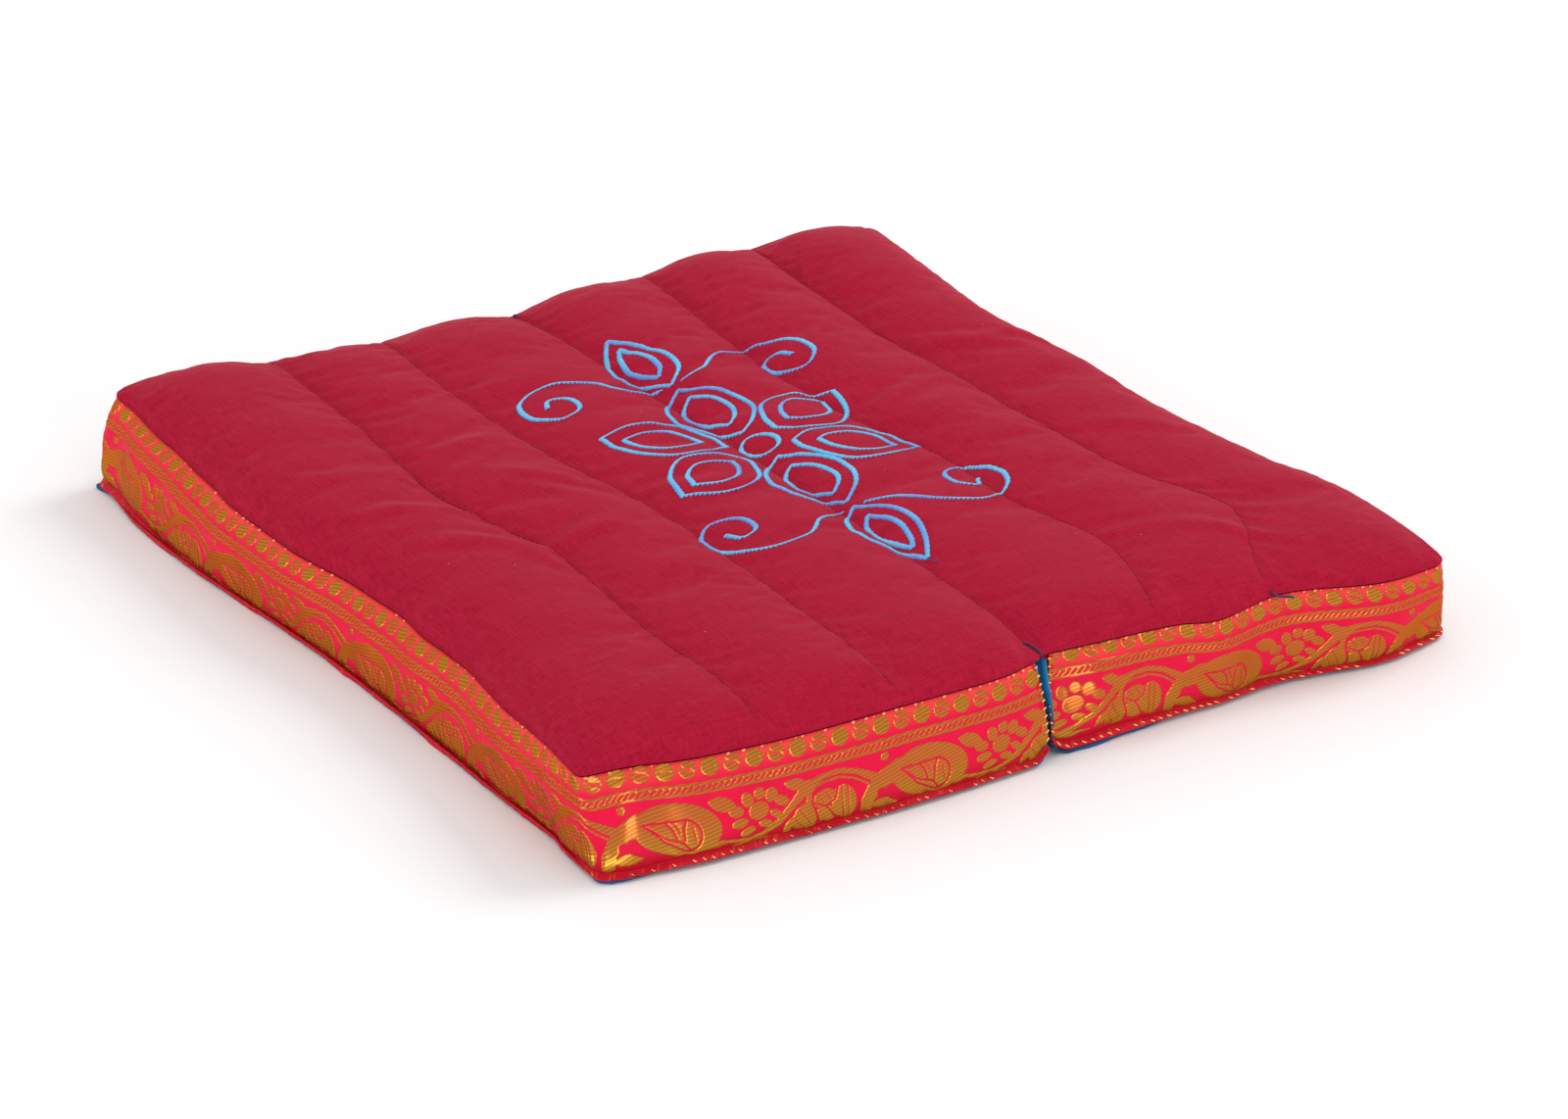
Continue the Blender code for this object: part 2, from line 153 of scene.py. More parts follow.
def plan(half, from_fold, along, share, outset=0.0):
    """(x, y, seam height) of places in a half, at a share of the way up from the foot to the seam."""
    from_fold, along = np.broadcast_arrays(from_fold, along)
    from_fold, along = round_corner(half, from_fold, along)
    near = read_table(NEAR_EDGE[half], from_fold)
    far = read_table(FAR_EDGE[half], from_fold)
    end_seam, end_foot, end_height = np.where(along < 0, near, far)
    side_seam, side_foot, side_height = read_table(SIDE_EDGE[half], along)
    side_out = blend(side_foot, side_seam, share) + outset
    end_out = blend(end_foot, end_seam, share) + outset
    to_side = from_fold / HALF_WIDTH
    from_middle = from_fold + side_out * to_side + fold_gape(from_fold, along, share)
    x = half * from_middle + read_table(FOLD_LINE, along)[0] * (1 - to_side)
    y = along + end_out * along / HALF_LENGTH
    return x, y, blend(end_height, side_height, to_side**CORNER_POWER)


def waves(place, lengths, seed):
    """A smooth uneven line between about -1 and 1, from sine waves of several lengths."""
    total = np.zeros(np.shape(place))
    for number, length in enumerate(lengths):
        total += np.sin(np.asarray(place) * 2 * math.pi / length + seed * (number + 1.7)) / len(lengths)
    return total


def new_object(name, data):
    thing = bpy.data.objects.new(name, data)
    bpy.context.scene.collection.objects.link(thing)
    return thing


def new_mesh(name, corners, faces, smooth=True):
    """An object from an array of corners and lists of faces."""
    data = bpy.data.meshes.new(name)
    faces = faces.tolist() if isinstance(faces, np.ndarray) else faces
    data.from_pydata(np.asarray(corners).tolist(), [], faces)
    if smooth:
        data.shade_smooth()
    return new_object(name, data)


def grid_faces(across, along):
    """The quads of a grid whose corner (i, j) has number i * along + j."""
    first = (np.arange(across - 1)[:, None] * along + np.arange(along - 1)[None, :]).ravel()
    return np.stack([first, first + along, first + along + 1, first + 1], 1)


def from_hex(code):
    """An sRGB hex colour as linear red, green, blue and alpha."""
    parts = [int(code[at : at + 2], 16) / 255 for at in (1, 3, 5)]
    linear = [part / 12.92 if part <= 0.04045 else ((part + 0.055) / 1.055) ** 2.4 for part in parts]
    return (*linear, 1.0)


def new_material(name, settings):
    """A material and its Principled shader, with settings on the shader's own sockets."""
    material = bpy.data.materials.new(name)
    material.use_nodes = True
    shader = material.node_tree.nodes["Principled BSDF"]
    for socket, value in settings.items():
        shader.inputs[socket].default_value = value
    return material, shader


def add(material, kind, inputs, output, **settings):
    """Adds a node with its settings, and gives back one of its outputs. An input takes another node's
    output, a hex colour or a plain value."""
    node = material.node_tree.nodes.new("ShaderNode" + kind)
    for name, value in settings.items():
        setattr(node, name, value)
    for socket, source in inputs.items():
        if isinstance(source, bpy.types.NodeSocket):
            material.node_tree.links.new(node.inputs[socket], source)
        else:
            node.inputs[socket].default_value = from_hex(source) if isinstance(source, str) else source
    return node.outputs[output]


def use(material, shader, inputs):
    """Links outputs of nodes to the shader."""
    for socket, source in inputs.items():
        material.node_tree.links.new(shader.inputs[socket], source)


# A Mix node's colour sockets share their names with others, so they go by place.
FACTOR, FIRST, SECOND, MIXED = 0, 6, 7, 2


def lay_colour(material, under, over, value, start, end, most=1.0):
    """Lays one colour over another: none of it where a value is at its start, and the most at its end."""
    share = add(
        material,
        "MapRange",
        {"Value": value, "From Min": start, "From Max": end, "To Max": most},
        "Result",
        interpolation_type="SMOOTHSTEP",
    )
    return add(material, "Mix", {FACTOR: share, FIRST: under, SECOND: over}, MIXED, data_type="RGBA")


# The wall and bend of the base cloth at the fold
FOLD_GAP_LOW = 3.4 * MM
FOLD_GAP_HIGH = 1.5 * MM
FOLD_BEND = 6 * MM
FOLD_TOP = 36 * MM
BASE_SHOWS = -2.2 * MM
BASE_EDGE_WAVE = 1.1 * MM
BASE_SHOWS_NEAR_FOLD = {LEFT: 0.9 * MM, RIGHT: 2.6 * MM}
BASE_SHOWS_BY_SIDE = 1.7 * MM
BASE_TIP = 4.5 * MM
TIP_REACH = 9 * MM
NEAR_FOLD_TO, NEAR_FOLD_FADE = 70 * MM, 45 * MM
BY_SIDE_FROM, BY_SIDE_TO, BY_SIDE_FADE = 170 * MM, 40 * MM, 30 * MM
EDGE_ONLY_POWER = 20
WALL_BULGE, WALL_INSET, WALL_WAVE = 1.5 * MM, 0.2 * MM, 0.35 * MM
BASE_COLUMNS, BASE_ROWS = 40, 160
BEND_ROWS, WALL_ROWS = 6, 8
BASE_THICKNESS = 0.9 * MM

# Uneven patches of dye to a millimetre: each is some 17 mm wide
DYE_PATCHES = 0.06


def base_cloth_colour():
    """Blue cotton: a plain weave of indigo thread, uneven in its dye. Painted shade makes it navy low down,
    and painted light makes it teal higher up the wall in the fold, where the light gets in."""
    material, shader = new_material("blue_cotton_plain_weave", {"Roughness": 0.9, "Specular IOR Level": 0.15})
    place = add(material, "TexCoord", {}, "Object")
    patches = add(material, "TexNoise", {"Vector": place, "Scale": DYE_PATCHES / MM, "Detail": 4.0}, "Fac")
    navy, teal = (
        add(material, "Mix", {FACTOR: patches, FIRST: dark, SECOND: light}, MIXED, data_type="RGBA")
        for dark, light in (("#183458", "#33608E"), ("#1A6896", "#3596C6"))
    )
    height = add(material, "SeparateXYZ", {"Vector": place}, "Z")
    # Painted shade and painted light by height: navy low down, running to teal from 12 mm up to 32 mm
    use(material, shader, {"Base Color": lay_colour(material, navy, teal, height, 12 * MM, 32 * MM)})
    return material


def make_base(half, name, material):
    columns = np.concatenate([
        np.linspace(HALF_WIDTH, FOLD_GAP_LOW + FOLD_BEND + 4 * MM, BASE_COLUMNS),
        [FOLD_GAP_LOW + FOLD_BEND],
    ])
    rows = np.linspace(-HALF_LENGTH, HALF_LENGTH, BASE_ROWS)
    out = np.maximum(np.abs(columns[:, None] / HALF_WIDTH), np.abs(rows[None, :] / HALF_LENGTH))
    at_edge = out**EDGE_ONLY_POWER
    around = rows[None, :] + columns[:, None]
    wander = BASE_SHOWS + BASE_EDGE_WAVE * waves(around, (0.11, 0.047, 0.023), 2.0 + half)
    by_fold = np.clip((NEAR_FOLD_TO - columns[:, None]) / NEAR_FOLD_FADE, 0, 1) * (rows[None, :] < 0)
    wander = wander + BASE_SHOWS_NEAR_FOLD[half] * by_fold
    if half == LEFT:
        by_side = np.clip((BY_SIDE_TO - rows[None, :]) / BY_SIDE_FADE, 0, 1)
        wander = wander + BASE_SHOWS_BY_SIDE * by_side * (columns[:, None] > BY_SIDE_FROM)
        to_tip = np.hypot(columns[:, None] - HALF_WIDTH, rows[None, :] - HALF_LENGTH)
        wander = wander + BASE_TIP * np.exp(-((to_tip / TIP_REACH) ** 2))
    x, y, _ = plan(half, columns[:, None], rows[None, :], 0.0, at_edge * wander)
    flat = np.stack([x, y, np.zeros(x.shape)], -1)
    wall = []
    for angle in np.linspace(0, math.pi / 2, BEND_ROWS + 1)[1:]:
        wall.append((FOLD_GAP_LOW + FOLD_BEND * (1 - math.sin(angle)), FOLD_BEND * (1 - math.cos(angle))))
    for height in np.linspace(FOLD_BEND, FOLD_TOP, WALL_ROWS + 1)[1:]:
        lean = (height - FOLD_BEND) / (FOLD_TOP - FOLD_BEND)
        wall.append((blend(FOLD_GAP_LOW, FOLD_GAP_HIGH, lean), height))
    rise = []
    for from_fold, height in wall:
        inset = WALL_BULGE * math.sin(math.pi * height / FOLD_TOP) - WALL_INSET
        x, y, _ = plan(half, np.full(rows.shape, from_fold), rows, height / FOLD_TOP, inset)
        wave = WALL_WAVE * waves(rows + height, (0.031, 0.017), 1.0) * min(1.0, height / FOLD_TOP * 2)
        rise.append(np.stack([x + wave, y, np.full(rows.shape, height)], -1))
    corners = np.concatenate([flat, np.array(rise)], 0)
    count = corners.shape[0]
    thing = new_mesh(name, corners.reshape(-1, 3), grid_faces(count, len(rows)))
    if half == LEFT:
        thing.data.flip_normals()
    thing.data.materials.append(material)
    shell = thing.modifiers.new("cloth thickness", "SOLIDIFY")
    shell.thickness = BASE_THICKNESS
    shell.offset = -1.0
    return thing


blue_cotton = base_cloth_colour()
for half, node in ((LEFT, "base_left"), (RIGHT, "base_right")):
    base = make_base(half, node.replace("base", "base_cloth"), blue_cotton)
    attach(base, "root")
    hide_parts(node)

# Side band, ground: a pink satin ribbon sewn round the three outer sides of a half. Its foot is turned
# under in a rolled lip over the base cloth, and its upper edge is sewn under the lip of the top panel.

BAND_END = 3.0 * MM
FOOT = 1.0 * MM
ROUTE_STEP = 0.5 * MM
GROUND_STEP = 1.3 * MM
RIBBON_THICKNESS = 0.5 * MM
GATHER = 0.3 * MM
END_LIFT = 4.5 * MM
END_ROUND = 8 * MM
BELLY_WAVE = 0.45 * MM
SIDE_BLEND = 30 * MM

# The band's section in millimetres, at shares of a thousandth of the way from the foot to the top seam:
# how far it stands out. The roll of the lip, the crease of the foot seam over it, then the belly.
Section = namedtuple("Section", "share out")
BAND_SECTION = (
    Section(0, -0.7), Section(8, 0.3), Section(25, 0.9), Section(45, 0.85), Section(64, 0),
    Section(80, -0.75), Section(98, -0.3), Section(160, 0.55), Section(300, 1.05), Section(500, 1.5),
    Section(650, 1.6), Section(850, 1.1), Section(1000, 0),
)
CREASE_SHARE, CREASE_REACH = 0.08, 0.07
CREASE_DROOP = 0.5 * MM

# The left side is packed round: its shoulder stands out more, by this much at the same shares.
SHOULDER = (
    Section(0, 0), Section(150, 0.2), Section(300, 1), Section(500, 2), Section(650, 2.5),
    Section(780, 2.4), Section(900, 1.5), Section(1000, 0),
)


class Route:
    """The way a band goes round its half, anticlockwise seen from above, by distance from its start."""

    def __init__(self, half):
        self.half = half
        first_end = -half * HALF_LENGTH
        out = np.arange(BAND_END, HALF_WIDTH, ROUTE_STEP)
        side = np.linspace(first_end, -first_end, round(2 * HALF_LENGTH / ROUTE_STEP))
        self.from_fold = np.concatenate([out, np.full(side.shape, HALF_WIDTH), out[::-1]])
        self.along = np.concatenate([np.full(out.shape, first_end), side, np.full(out.shape, -first_end)])
        x, y, _ = plan(half, self.from_fold, self.along, 0.5)
        self.distance = np.concatenate([[0.0], np.cumsum(np.hypot(np.diff(x), np.diff(y)))])
        self.length = self.distance[-1]
        self.corners = [self.distance[len(out)], self.distance[len(out) + len(side) - 1]]

    def places(self, distance):
        return (
            np.interp(distance, self.distance, self.from_fold),
            np.interp(distance, self.distance, self.along),
        )


# Where the belly is flatter or fuller: the share it changes by, how far that reaches, and where it is, in
# millimetres from the start of the route (0), from its first corner (1) or from its second (2).
Swell = namedtuple("Swell", "origin at reach change")
SWELLS = {
    LEFT: (Swell(1, 0, 16, 0.2), Swell(2, 0, 9, -1.25), Swell(2, 19, 9, 0.6)),
    RIGHT: (Swell(0, 0, 10, -1.3), Swell(0, 21, 10, 1.9), Swell(1, 0, 14, -0.6)),
}

# How far the lip is rolled under, in millimetres, at a distance along each route.
LipRoll = namedtuple("LipRoll", "along down")
LIP_ROLLS = {
    LEFT: (
        LipRoll(0, 0.3), LipRoll(185, 0.2), LipRoll(215, 1.6), LipRoll(260, 2.1), LipRoll(540, 2.1),
        LipRoll(583, 1), LipRoll(612, 0.3), LipRoll(640, 1), LipRoll(740, 1), LipRoll(773, 0.5),
    ),
    RIGHT: (
        LipRoll(0, 0), LipRoll(50, 0.2), LipRoll(110, 1), LipRoll(200, 0.8), LipRoll(770, 0.6),
    ),
}


def band_surface(route, distance, share, proud=0.0):
    """Points on a band's outer face, by distance along its route and share of its height."""
    distance, share = np.broadcast_arrays(distance, share)
    from_fold, along = route.places(distance)
    out = read_table(BAND_SECTION, share)[0]
    free = np.sin(np.clip(share, 0, 1) * math.pi)
    out = out + free * BELLY_WAVE * waves(distance, (0.083, 0.036, 0.021), 1.3 + route.half)
    near_crease = np.exp(-(((share - CREASE_SHARE) / CREASE_REACH) ** 2))
    belly = np.ones(distance.shape)
    for swell in SWELLS[route.half]:
        middle = ([0.0] + route.corners)[swell.origin] + swell.at * MM
        belly = belly + swell.change * np.exp(-(((distance - middle) / (swell.reach * MM)) ** 2))
    out = out + np.maximum(out, 0) * (belly - 1) * np.clip(share * 9 - 1, 0, 1)
    droop = near_crease * CREASE_DROOP * waves(distance, (0.071, 0.034), 2.1 + route.half)
    if route.half == LEFT:
        from_corner = np.minimum(distance - route.corners[0], route.corners[1] - distance)
        on_side = np.clip(from_corner / SIDE_BLEND, 0, 1) ** 2
        out = out + on_side * read_table(SHOULDER, share)[0]
    droop = droop - near_crease * read_table(LIP_ROLLS[route.half], distance)[0]
    out = out + GATHER * near_crease * waves(distance, (0.0093, 0.0057, 0.0141), 0.4 + route.half)
    x, y, seam = plan(route.half, from_fold, along, share, out + proud)
    to_end = np.minimum(distance, route.length - distance)
    foot = FOOT + END_LIFT * (1 - np.clip(to_end / END_ROUND, 0, 1)) ** 2
    return np.stack([x, y, blend(foot, seam, share) + droop * (share > 0.02)], -1)


def surface_normals(points):
    """Unit normals of a grid of points: along the first way crossed with up the second."""
    normals = np.cross(np.gradient(points, axis=0), np.gradient(points, axis=1))
    return normals / np.linalg.norm(normals, axis=-1, keepdims=True)


# The ribbon's own places are millimetres along its repeat, and millimetres up from where its crease would be
# with no slack. Its woven stripe lies this far up.
REPEAT = 104.5
STRIPE_MIDDLE = 24.5
BAND_HEIGHT = 38.0

# How far the middle of the stripe lies below the top seam, in millimetres, along a band's route: the
# seam takes up more of the ribbon in some places than in others.
Drop = namedtuple("Drop", "along stripe")
STRIPE_DROP = {
    LEFT: (
        Drop(0, 11), Drop(194, 10.6), Drop(238, 11.3), Drop(275, 12.5), Drop(297, 12.4), Drop(330, 11.8),
        Drop(350, 11.5), Drop(370, 11.4), Drop(420, 12), Drop(449, 10.8), Drop(480, 11.8), Drop(530, 12),
        Drop(583, 10), Drop(622, 10.6), Drop(655, 11), Drop(773, 12),
    ),
    RIGHT: (
        Drop(0, 7.9), Drop(50, 9), Drop(100, 10.9), Drop(192, 11.5), Drop(400, 11), Drop(770, 11),
    ),
}

# The place in the repeat, in millimetres, that comes at the left band's second corner and at the start of
# the right band, and the number of repeats along a side.
REPEAT_AT = {LEFT: -1.7, RIGHT: -50.6}
REPEATS_ON_SIDE = 4


def repeat_place(route, distance):
    """The place in the repeat, in millimetres, at a distance along a band's route."""
    first, second = route.corners
    side = REPEATS_ON_SIDE * REPEAT * MM
    if route.half == LEFT:
        knots = [REPEAT_AT[LEFT] * MM - side - first, REPEAT_AT[LEFT] * MM - side]
        knots += [REPEAT_AT[LEFT] * MM, REPEAT_AT[LEFT] * MM + route.length - second]
    else:
        knots = [REPEAT_AT[RIGHT] * MM, REPEAT_AT[RIGHT] * MM + first]
        knots += [knots[1] + side, knots[1] + side + route.length - second]
    return np.interp(distance, [0, first, second, route.length], knots) / MM


def ribbon_place(route, distances, points):
    """The ribbon's own places of a grid of points on a band, which ends at the top seam."""
    rise = np.linalg.norm(np.diff(points, axis=1), axis=-1)
    below_seam = np.concatenate([np.cumsum(rise[:, ::-1], 1)[:, ::-1], np.zeros((len(distances), 1))], 1)
    drop = read_table(STRIPE_DROP[route.half], distances)[0]
    up = STRIPE_MIDDLE + (drop[:, None] - below_seam) / MM
    return np.broadcast_to(repeat_place(route, distances)[:, None], up.shape), up


def keep_on_mesh(thing, name, values):
    """Keeps an array of numbers or vectors, one for each corner, on a mesh for its material."""
    kind, field = ("FLOAT_VECTOR", "vector") if values.ndim == 2 else ("FLOAT", "value")
    kept = thing.data.attributes.new(name, kind, "POINT")
    kept.data.foreach_set(field, values.astype(np.float32).ravel())


def mark_places(thing, along, up, third):
    """Keeps the ribbon's own places on a mesh for its material, with a third value of the material's own."""
    places = np.stack([along.ravel(), up.ravel(), third.ravel()], 1)
    keep_on_mesh(thing, "ribbon_place", places)


# Repeats to a millimetre, as the ribbon's own places are in millimetres: along it and up it. The clouds are
# 9 mm wide, and the floats of the satin are 0.17 mm high and 1.7 mm long.
SATIN_CLOUDS = 0.11
SELVAGE_STREAKS = (0.9, 0.0, 0.25)
SATIN_FLOATS = (0.6, 6.0, 0.0)


def satin_ribbon():
    """Hot pink rayon satin: smooth floats of thread along the ribbon. Painted sheen makes it coral towards
    the top seam, where it leans back, painted shade makes it deep red towards the crease, and its
    turned-under lip is streaked orange by the selvage."""
    material, shader = new_material(
        "pink_rayon_satin_ribbon", {"Roughness": 0.5, "Specular IOR Level": 0.12}
    )
    place = add(material, "Attribute", {}, "Vector", attribute_name="ribbon_place")
    height = add(material, "SeparateXYZ", {"Vector": place}, "Z")
    to_end = add(material, "Attribute", {}, "Fac", attribute_name="to_end")
    streak_place = add(material, "Mapping", {"Vector": place, "Scale": SELVAGE_STREAKS}, "Vector")
    streaks = add(material, "TexNoise", {"Vector": streak_place, "Scale": 1.0}, "Fac")
    selvage = lay_colour(material, "#C21028", "#DE5A34", streaks, 0.55, 0.8)
    clouds = add(material, "TexNoise", {"Vector": place, "Scale": SATIN_CLOUDS, "Detail": 3.0}, "Fac")
    ground = add(
        material, "Mix", {FACTOR: clouds, FIRST: "#D00430", SECOND: "#E80B43"}, MIXED, data_type="RGBA"
    )
    # Painted shade towards the crease, painted sheen towards the top seam, the selvage's streaks on the lip
    # below the crease, and at the cut ends
    for colour, value, start, end, most in (
        ("#A40414", height, 11.0, 3.4, 0.8),
        ("#E9443E", height, 29.0, 37.0, 0.85),
        (selvage, height, 3.3, 2.5, 1.0),
        (selvage, to_end, 2.4, 1.4, 1.0),
    ):
        ground = lay_colour(material, ground, colour, value, start, end, most)
    grain_place = add(material, "Mapping", {"Vector": place, "Scale": SATIN_FLOATS}, "Vector")
    grain = add(material, "TexNoise", {"Vector": grain_place, "Scale": 1.0}, "Fac")
    relief = add(material, "Bump", {"Height": grain, "Distance": 0.05 * MM, "Strength": 0.6}, "Normal")
    use(material, shader, {"Base Color": ground, "Normal": relief})
    return material


ROUTES = {half: Route(half) for half in (LEFT, RIGHT)}
pink_satin = satin_ribbon()
GROUND_SHARES = np.concatenate([np.linspace(0, 0.12, 15), np.linspace(0.12, 1.0, 25)[1:]])

for half, node in ((LEFT, "band_left"), (RIGHT, "band_right")):
    route = ROUTES[half]
    distances = np.linspace(0, route.length, round(route.length / GROUND_STEP))
    points = band_surface(route, distances[:, None], GROUND_SHARES[None, :])
    band = new_mesh(
        node.replace("band", "band_ribbon"),
        points.reshape(-1, 3),
        grid_faces(len(distances), len(GROUND_SHARES)),
    )
    along, up = ribbon_place(route, distances, points)
    mark_places(band, along, up, np.broadcast_to(GROUND_SHARES * BAND_HEIGHT, up.shape))
    to_end = np.minimum(distances, route.length - distances) / MM
    keep_on_mesh(band, "to_end", np.repeat(to_end, len(GROUND_SHARES)))
    band.data.materials.append(pink_satin)
    shell = band.modifiers.new("ribbon thickness", "SOLIDIFY")
    shell.thickness = RIBBON_THICKNESS
    shell.offset = -1.0
    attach(band, "root")
    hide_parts(node)

# Side band, gold figure: flat metallic zari thread woven into the ribbon as a row of round dots, a twisted
# cable between two lines, and a repeat of paisley, flower, vine and bud. The floats stand a hair proud.

FIGURE_STEP = 0.45 * MM
FIGURE_HEIGHT = 36 * MM
FIGURE_FOOT = CREASE_SHARE + 0.006
FIGURE_RAISED = 0.16 * MM
FIGURE_BASE = 0.03 * MM
FIGURE_EDGE = 0.35

# Sizes in millimetres
STRIPE_LINE = 1.6
STRIPE_LINE_WIDTH = 1.2
CABLE_HEIGHT = 2.2
CABLE_PITCH = REPEAT / 44
CABLE_BAR = 0.53
CABLE_SLANT, CABLE_STEEPNESS = 1.1, 0.74
DOT_MIDDLE = 31.5
DOT_WIDTH, DOT_HEIGHT = 7.1, 6.5
DOT_COUNT = 12
DOT_START = 2.7

# The gap that splits a dot slants by its share up and along, and waves. The slit of the others lies level.
SPLIT_UP, SPLIT_ALONG, SPLIT_WAVE, SPLIT_HALF_WIDTH = 0.83, 0.55, 0.5, 0.34
SLIT_DROP, SLIT_HALF_WIDTH, SLIT_HALF_LENGTH = 0.2, 0.14, 2.1

# The figures of one repeat in millimetres along and up, with their length, width and turn in degrees.
Oval = namedtuple("Oval", "along up long wide turn")
Leaf = namedtuple("Leaf", "along up long wide turn")
Limb = namedtuple("Limb", "along up wide")
PAISLEY_BODY = (Oval(30.9, 10.2, 33.2, 20.2, -6),)
PAISLEY_ARM = (
    Limb(24, 12.4, 14), Limb(17, 13.4, 9), Limb(11.5, 12.2, 7.2), Limb(6.5, 9.2, 6.2), Limb(3, 5, 5.4),
    Limb(2.2, 1, 4.8),
)
PAISLEY_TIP = (Leaf(10.5, 1.9, 13, 4.8, -6), Leaf(4.0, 14.6, 8.0, 2.8, -30))
PAISLEY_EYE = (
    Oval(9.6, 6.5, 4.4, 3.6, -20), Limb(11, 5.6, 1.5), Limb(13.2, 3.4, 1.1), Limb(17, 1, 0.9),
)
PAISLEY_HOLLOW = (
    Limb(18, 13.4, 0.6), Limb(22.5, 11.6, 4.6), Limb(27.5, 9.4, 9.2), Limb(33.2, 7.9, 12.8),
)
PAISLEY_VEINS = (
    (Limb(20.0, 12.2, 0.4), Limb(25.5, 7.4, 0.6), Limb(31.5, 5.4, 0.8), Limb(34.2, 2.0, 0.6)),
    (Limb(26.0, 13.6, 0.7), Limb(28.4, 10.4, 0.7), Limb(29.6, 6.4, 0.6)),
    (Limb(34.2, 14.0, 0.7), Limb(32.6, 10.0, 0.8), Limb(32.4, 5.6, 0.6)),
    (Limb(29.6, 12.4, 0.5), Limb(31.2, 9.0, 0.5)),
    (Limb(36.4, 10.6, 0.5), Limb(36.6, 5.0, 0.5)),
)
FLOWER = (
    Oval(62.9, 12, 8.4, 6.6, 12), Oval(53.9, 13.2, 6.2, 4.2, -4), Oval(54.8, 8.7, 6.8, 3.4, 8),
    Oval(57.4, 5.2, 6.6, 2.9, 16), Oval(58.9, 16.8, 4.8, 5.8, 18), Oval(63.9, 18.3, 4.5, 4.6, -4),
    Oval(68.6, 16.9, 5, 5.6, -34), Oval(72.4, 13.9, 6.2, 4, -24), Oval(69.6, 9.4, 5.6, 3, -34),
    Oval(64.8, 6.8, 5.4, 2.9, -6),
)
SHOULDER_LEAF = (Leaf(49.0, 17.0, 11.6, 5.6, -20),)
VINE = (
    Limb(41, 1.6, 1.2), Limb(46, 3, 2), Limb(51.5, 2.4, 1.6), Limb(57, 2, 1.7), Limb(63.5, 3, 2),
    Limb(70.5, 6.2, 2.6), Limb(76.2, 10.8, 3.1), Limb(80.6, 14.4, 4), Limb(84, 16.4, 5.4),
)
VINE_LEAVES = (
    Leaf(79, 18.4, 11, 4.6, -16), Leaf(60, 0.6, 21, 1.9, 0), Leaf(74.2, 3.6, 8.6, 3.4, 46),
)
ARCH_OVER = (
    Limb(83.5, 16.8, 3.4), Limb(90.5, 19, 2.2), Limb(97.3, 19.3, 2.1), Limb(104, 17.4, 2.3),
    Limb(109, 14.6, 3), Limb(113, 12.2, 3.8),
)
ARCH_UNDER = (
    Limb(86, 15.6, 0.9), Limb(91, 16.8, 0.9), Limb(97, 17, 0.9), Limb(103, 15, 0.9),
    Limb(108.5, 11.4, 0.9),
)
BUD = (
    Leaf(80.6, 5.4, 13.5, 8.6, 50), Limb(84.2, 14.4, 2.4), Limb(84, 9.5, 4.4), Limb(82, 3, 7),
)
BUD_HEART = (
    Oval(89.8, 10.6, 9.4, 6.6, 14), Oval(90, 4.4, 9.6, 6.6, -8), Oval(97.8, 7.2, 10.4, 13.6, 6),
)
BUD_VEINS = (
    (Limb(85.4, 13.6, 0.8), Limb(84.9, 9.2, 0.8), Limb(86.2, 4.8, 0.8), Limb(87.0, 0.0, 0.8)),
    (Limb(86.0, 9.4, 0.6), Limb(90.5, 7.2, 0.7), Limb(94.4, 9.4, 0.6), Limb(95.6, 13.4, 0.7)),
    (Limb(90.5, 7.2, 0.6), Limb(93.6, 2.2, 0.8)),
    (Limb(79.2, 8.6, 0.5), Limb(83.0, 2.4, 0.5)),
    (Limb(77.0, 5.4, 0.5), Limb(80.0, 0.6, 0.5)),
    (Limb(87.2, 12.8, 0.45), Limb(89.6, 9.2, 0.45)),
    (Limb(90.4, 13.4, 0.45), Limb(92.6, 9.6, 0.45)),
    (Limb(97.4, 13.6, 0.45), Limb(97.0, 1.2, 0.45)),
    (Limb(99.8, 13.4, 0.45), Limb(99.4, 2.0, 0.45)),
)
SPOT = (Oval(11.6, 20.0, 3.5, 3.4, 0),)


def wrapped(distance):
    return (distance + REPEAT / 2) % REPEAT - REPEAT / 2


def turned(figure, along, up):
    """Places as seen from a figure's own middle and turn."""
    turn = math.radians(figure.turn)
    dx, dy = wrapped(along - figure.along), up - figure.up
    return dx * math.cos(turn) + dy * math.sin(turn), dy * math.cos(turn) - dx * math.sin(turn)


def inside_oval(figure, along, up):
    dx, dy = turned(figure, along, up)
    return (1 - np.hypot(dx / (figure.long / 2), dy / (figure.wide / 2))) * min(figure.long, figure.wide) / 2


def inside_leaf(figure, along, up):
    """A pointed oval: where two equal circles overlap."""
    dx, dy = turned(figure, along, up)
    radius = (figure.long**2 + figure.wide**2) / (4 * figure.wide)
    return radius - np.hypot(dx, np.abs(dy) + radius - figure.wide / 2)


def inside_limbs(limbs, along, up):
    """A tapered stroke through the middles of its limbs."""
    best = np.full(np.shape(along), -99.0)
    for start, end in zip(limbs, limbs[1:]):
        dx, dy = end.along - start.along, end.up - start.up
        px, py = wrapped(along - start.along), up - start.up
        t = np.clip((px * dx + py * dy) / (dx * dx + dy * dy), 0, 1)
        radius = blend(start.wide, end.wide, t) / 2
        best = np.maximum(best, radius - np.hypot(px - t * dx, py - t * dy))
    return best


def inside_any(figures, along, up):
    best = np.full(np.shape(along), -99.0)
    limbs = [figure for figure in figures if isinstance(figure, Limb)]
    if len(limbs) > 1:
        best = inside_limbs(limbs, along, up)
    for figure in figures:
        if isinstance(figure, Oval):
            best = np.maximum(best, inside_oval(figure, along, up))
        elif isinstance(figure, Leaf):
            best = np.maximum(best, inside_leaf(figure, along, up))
    return best


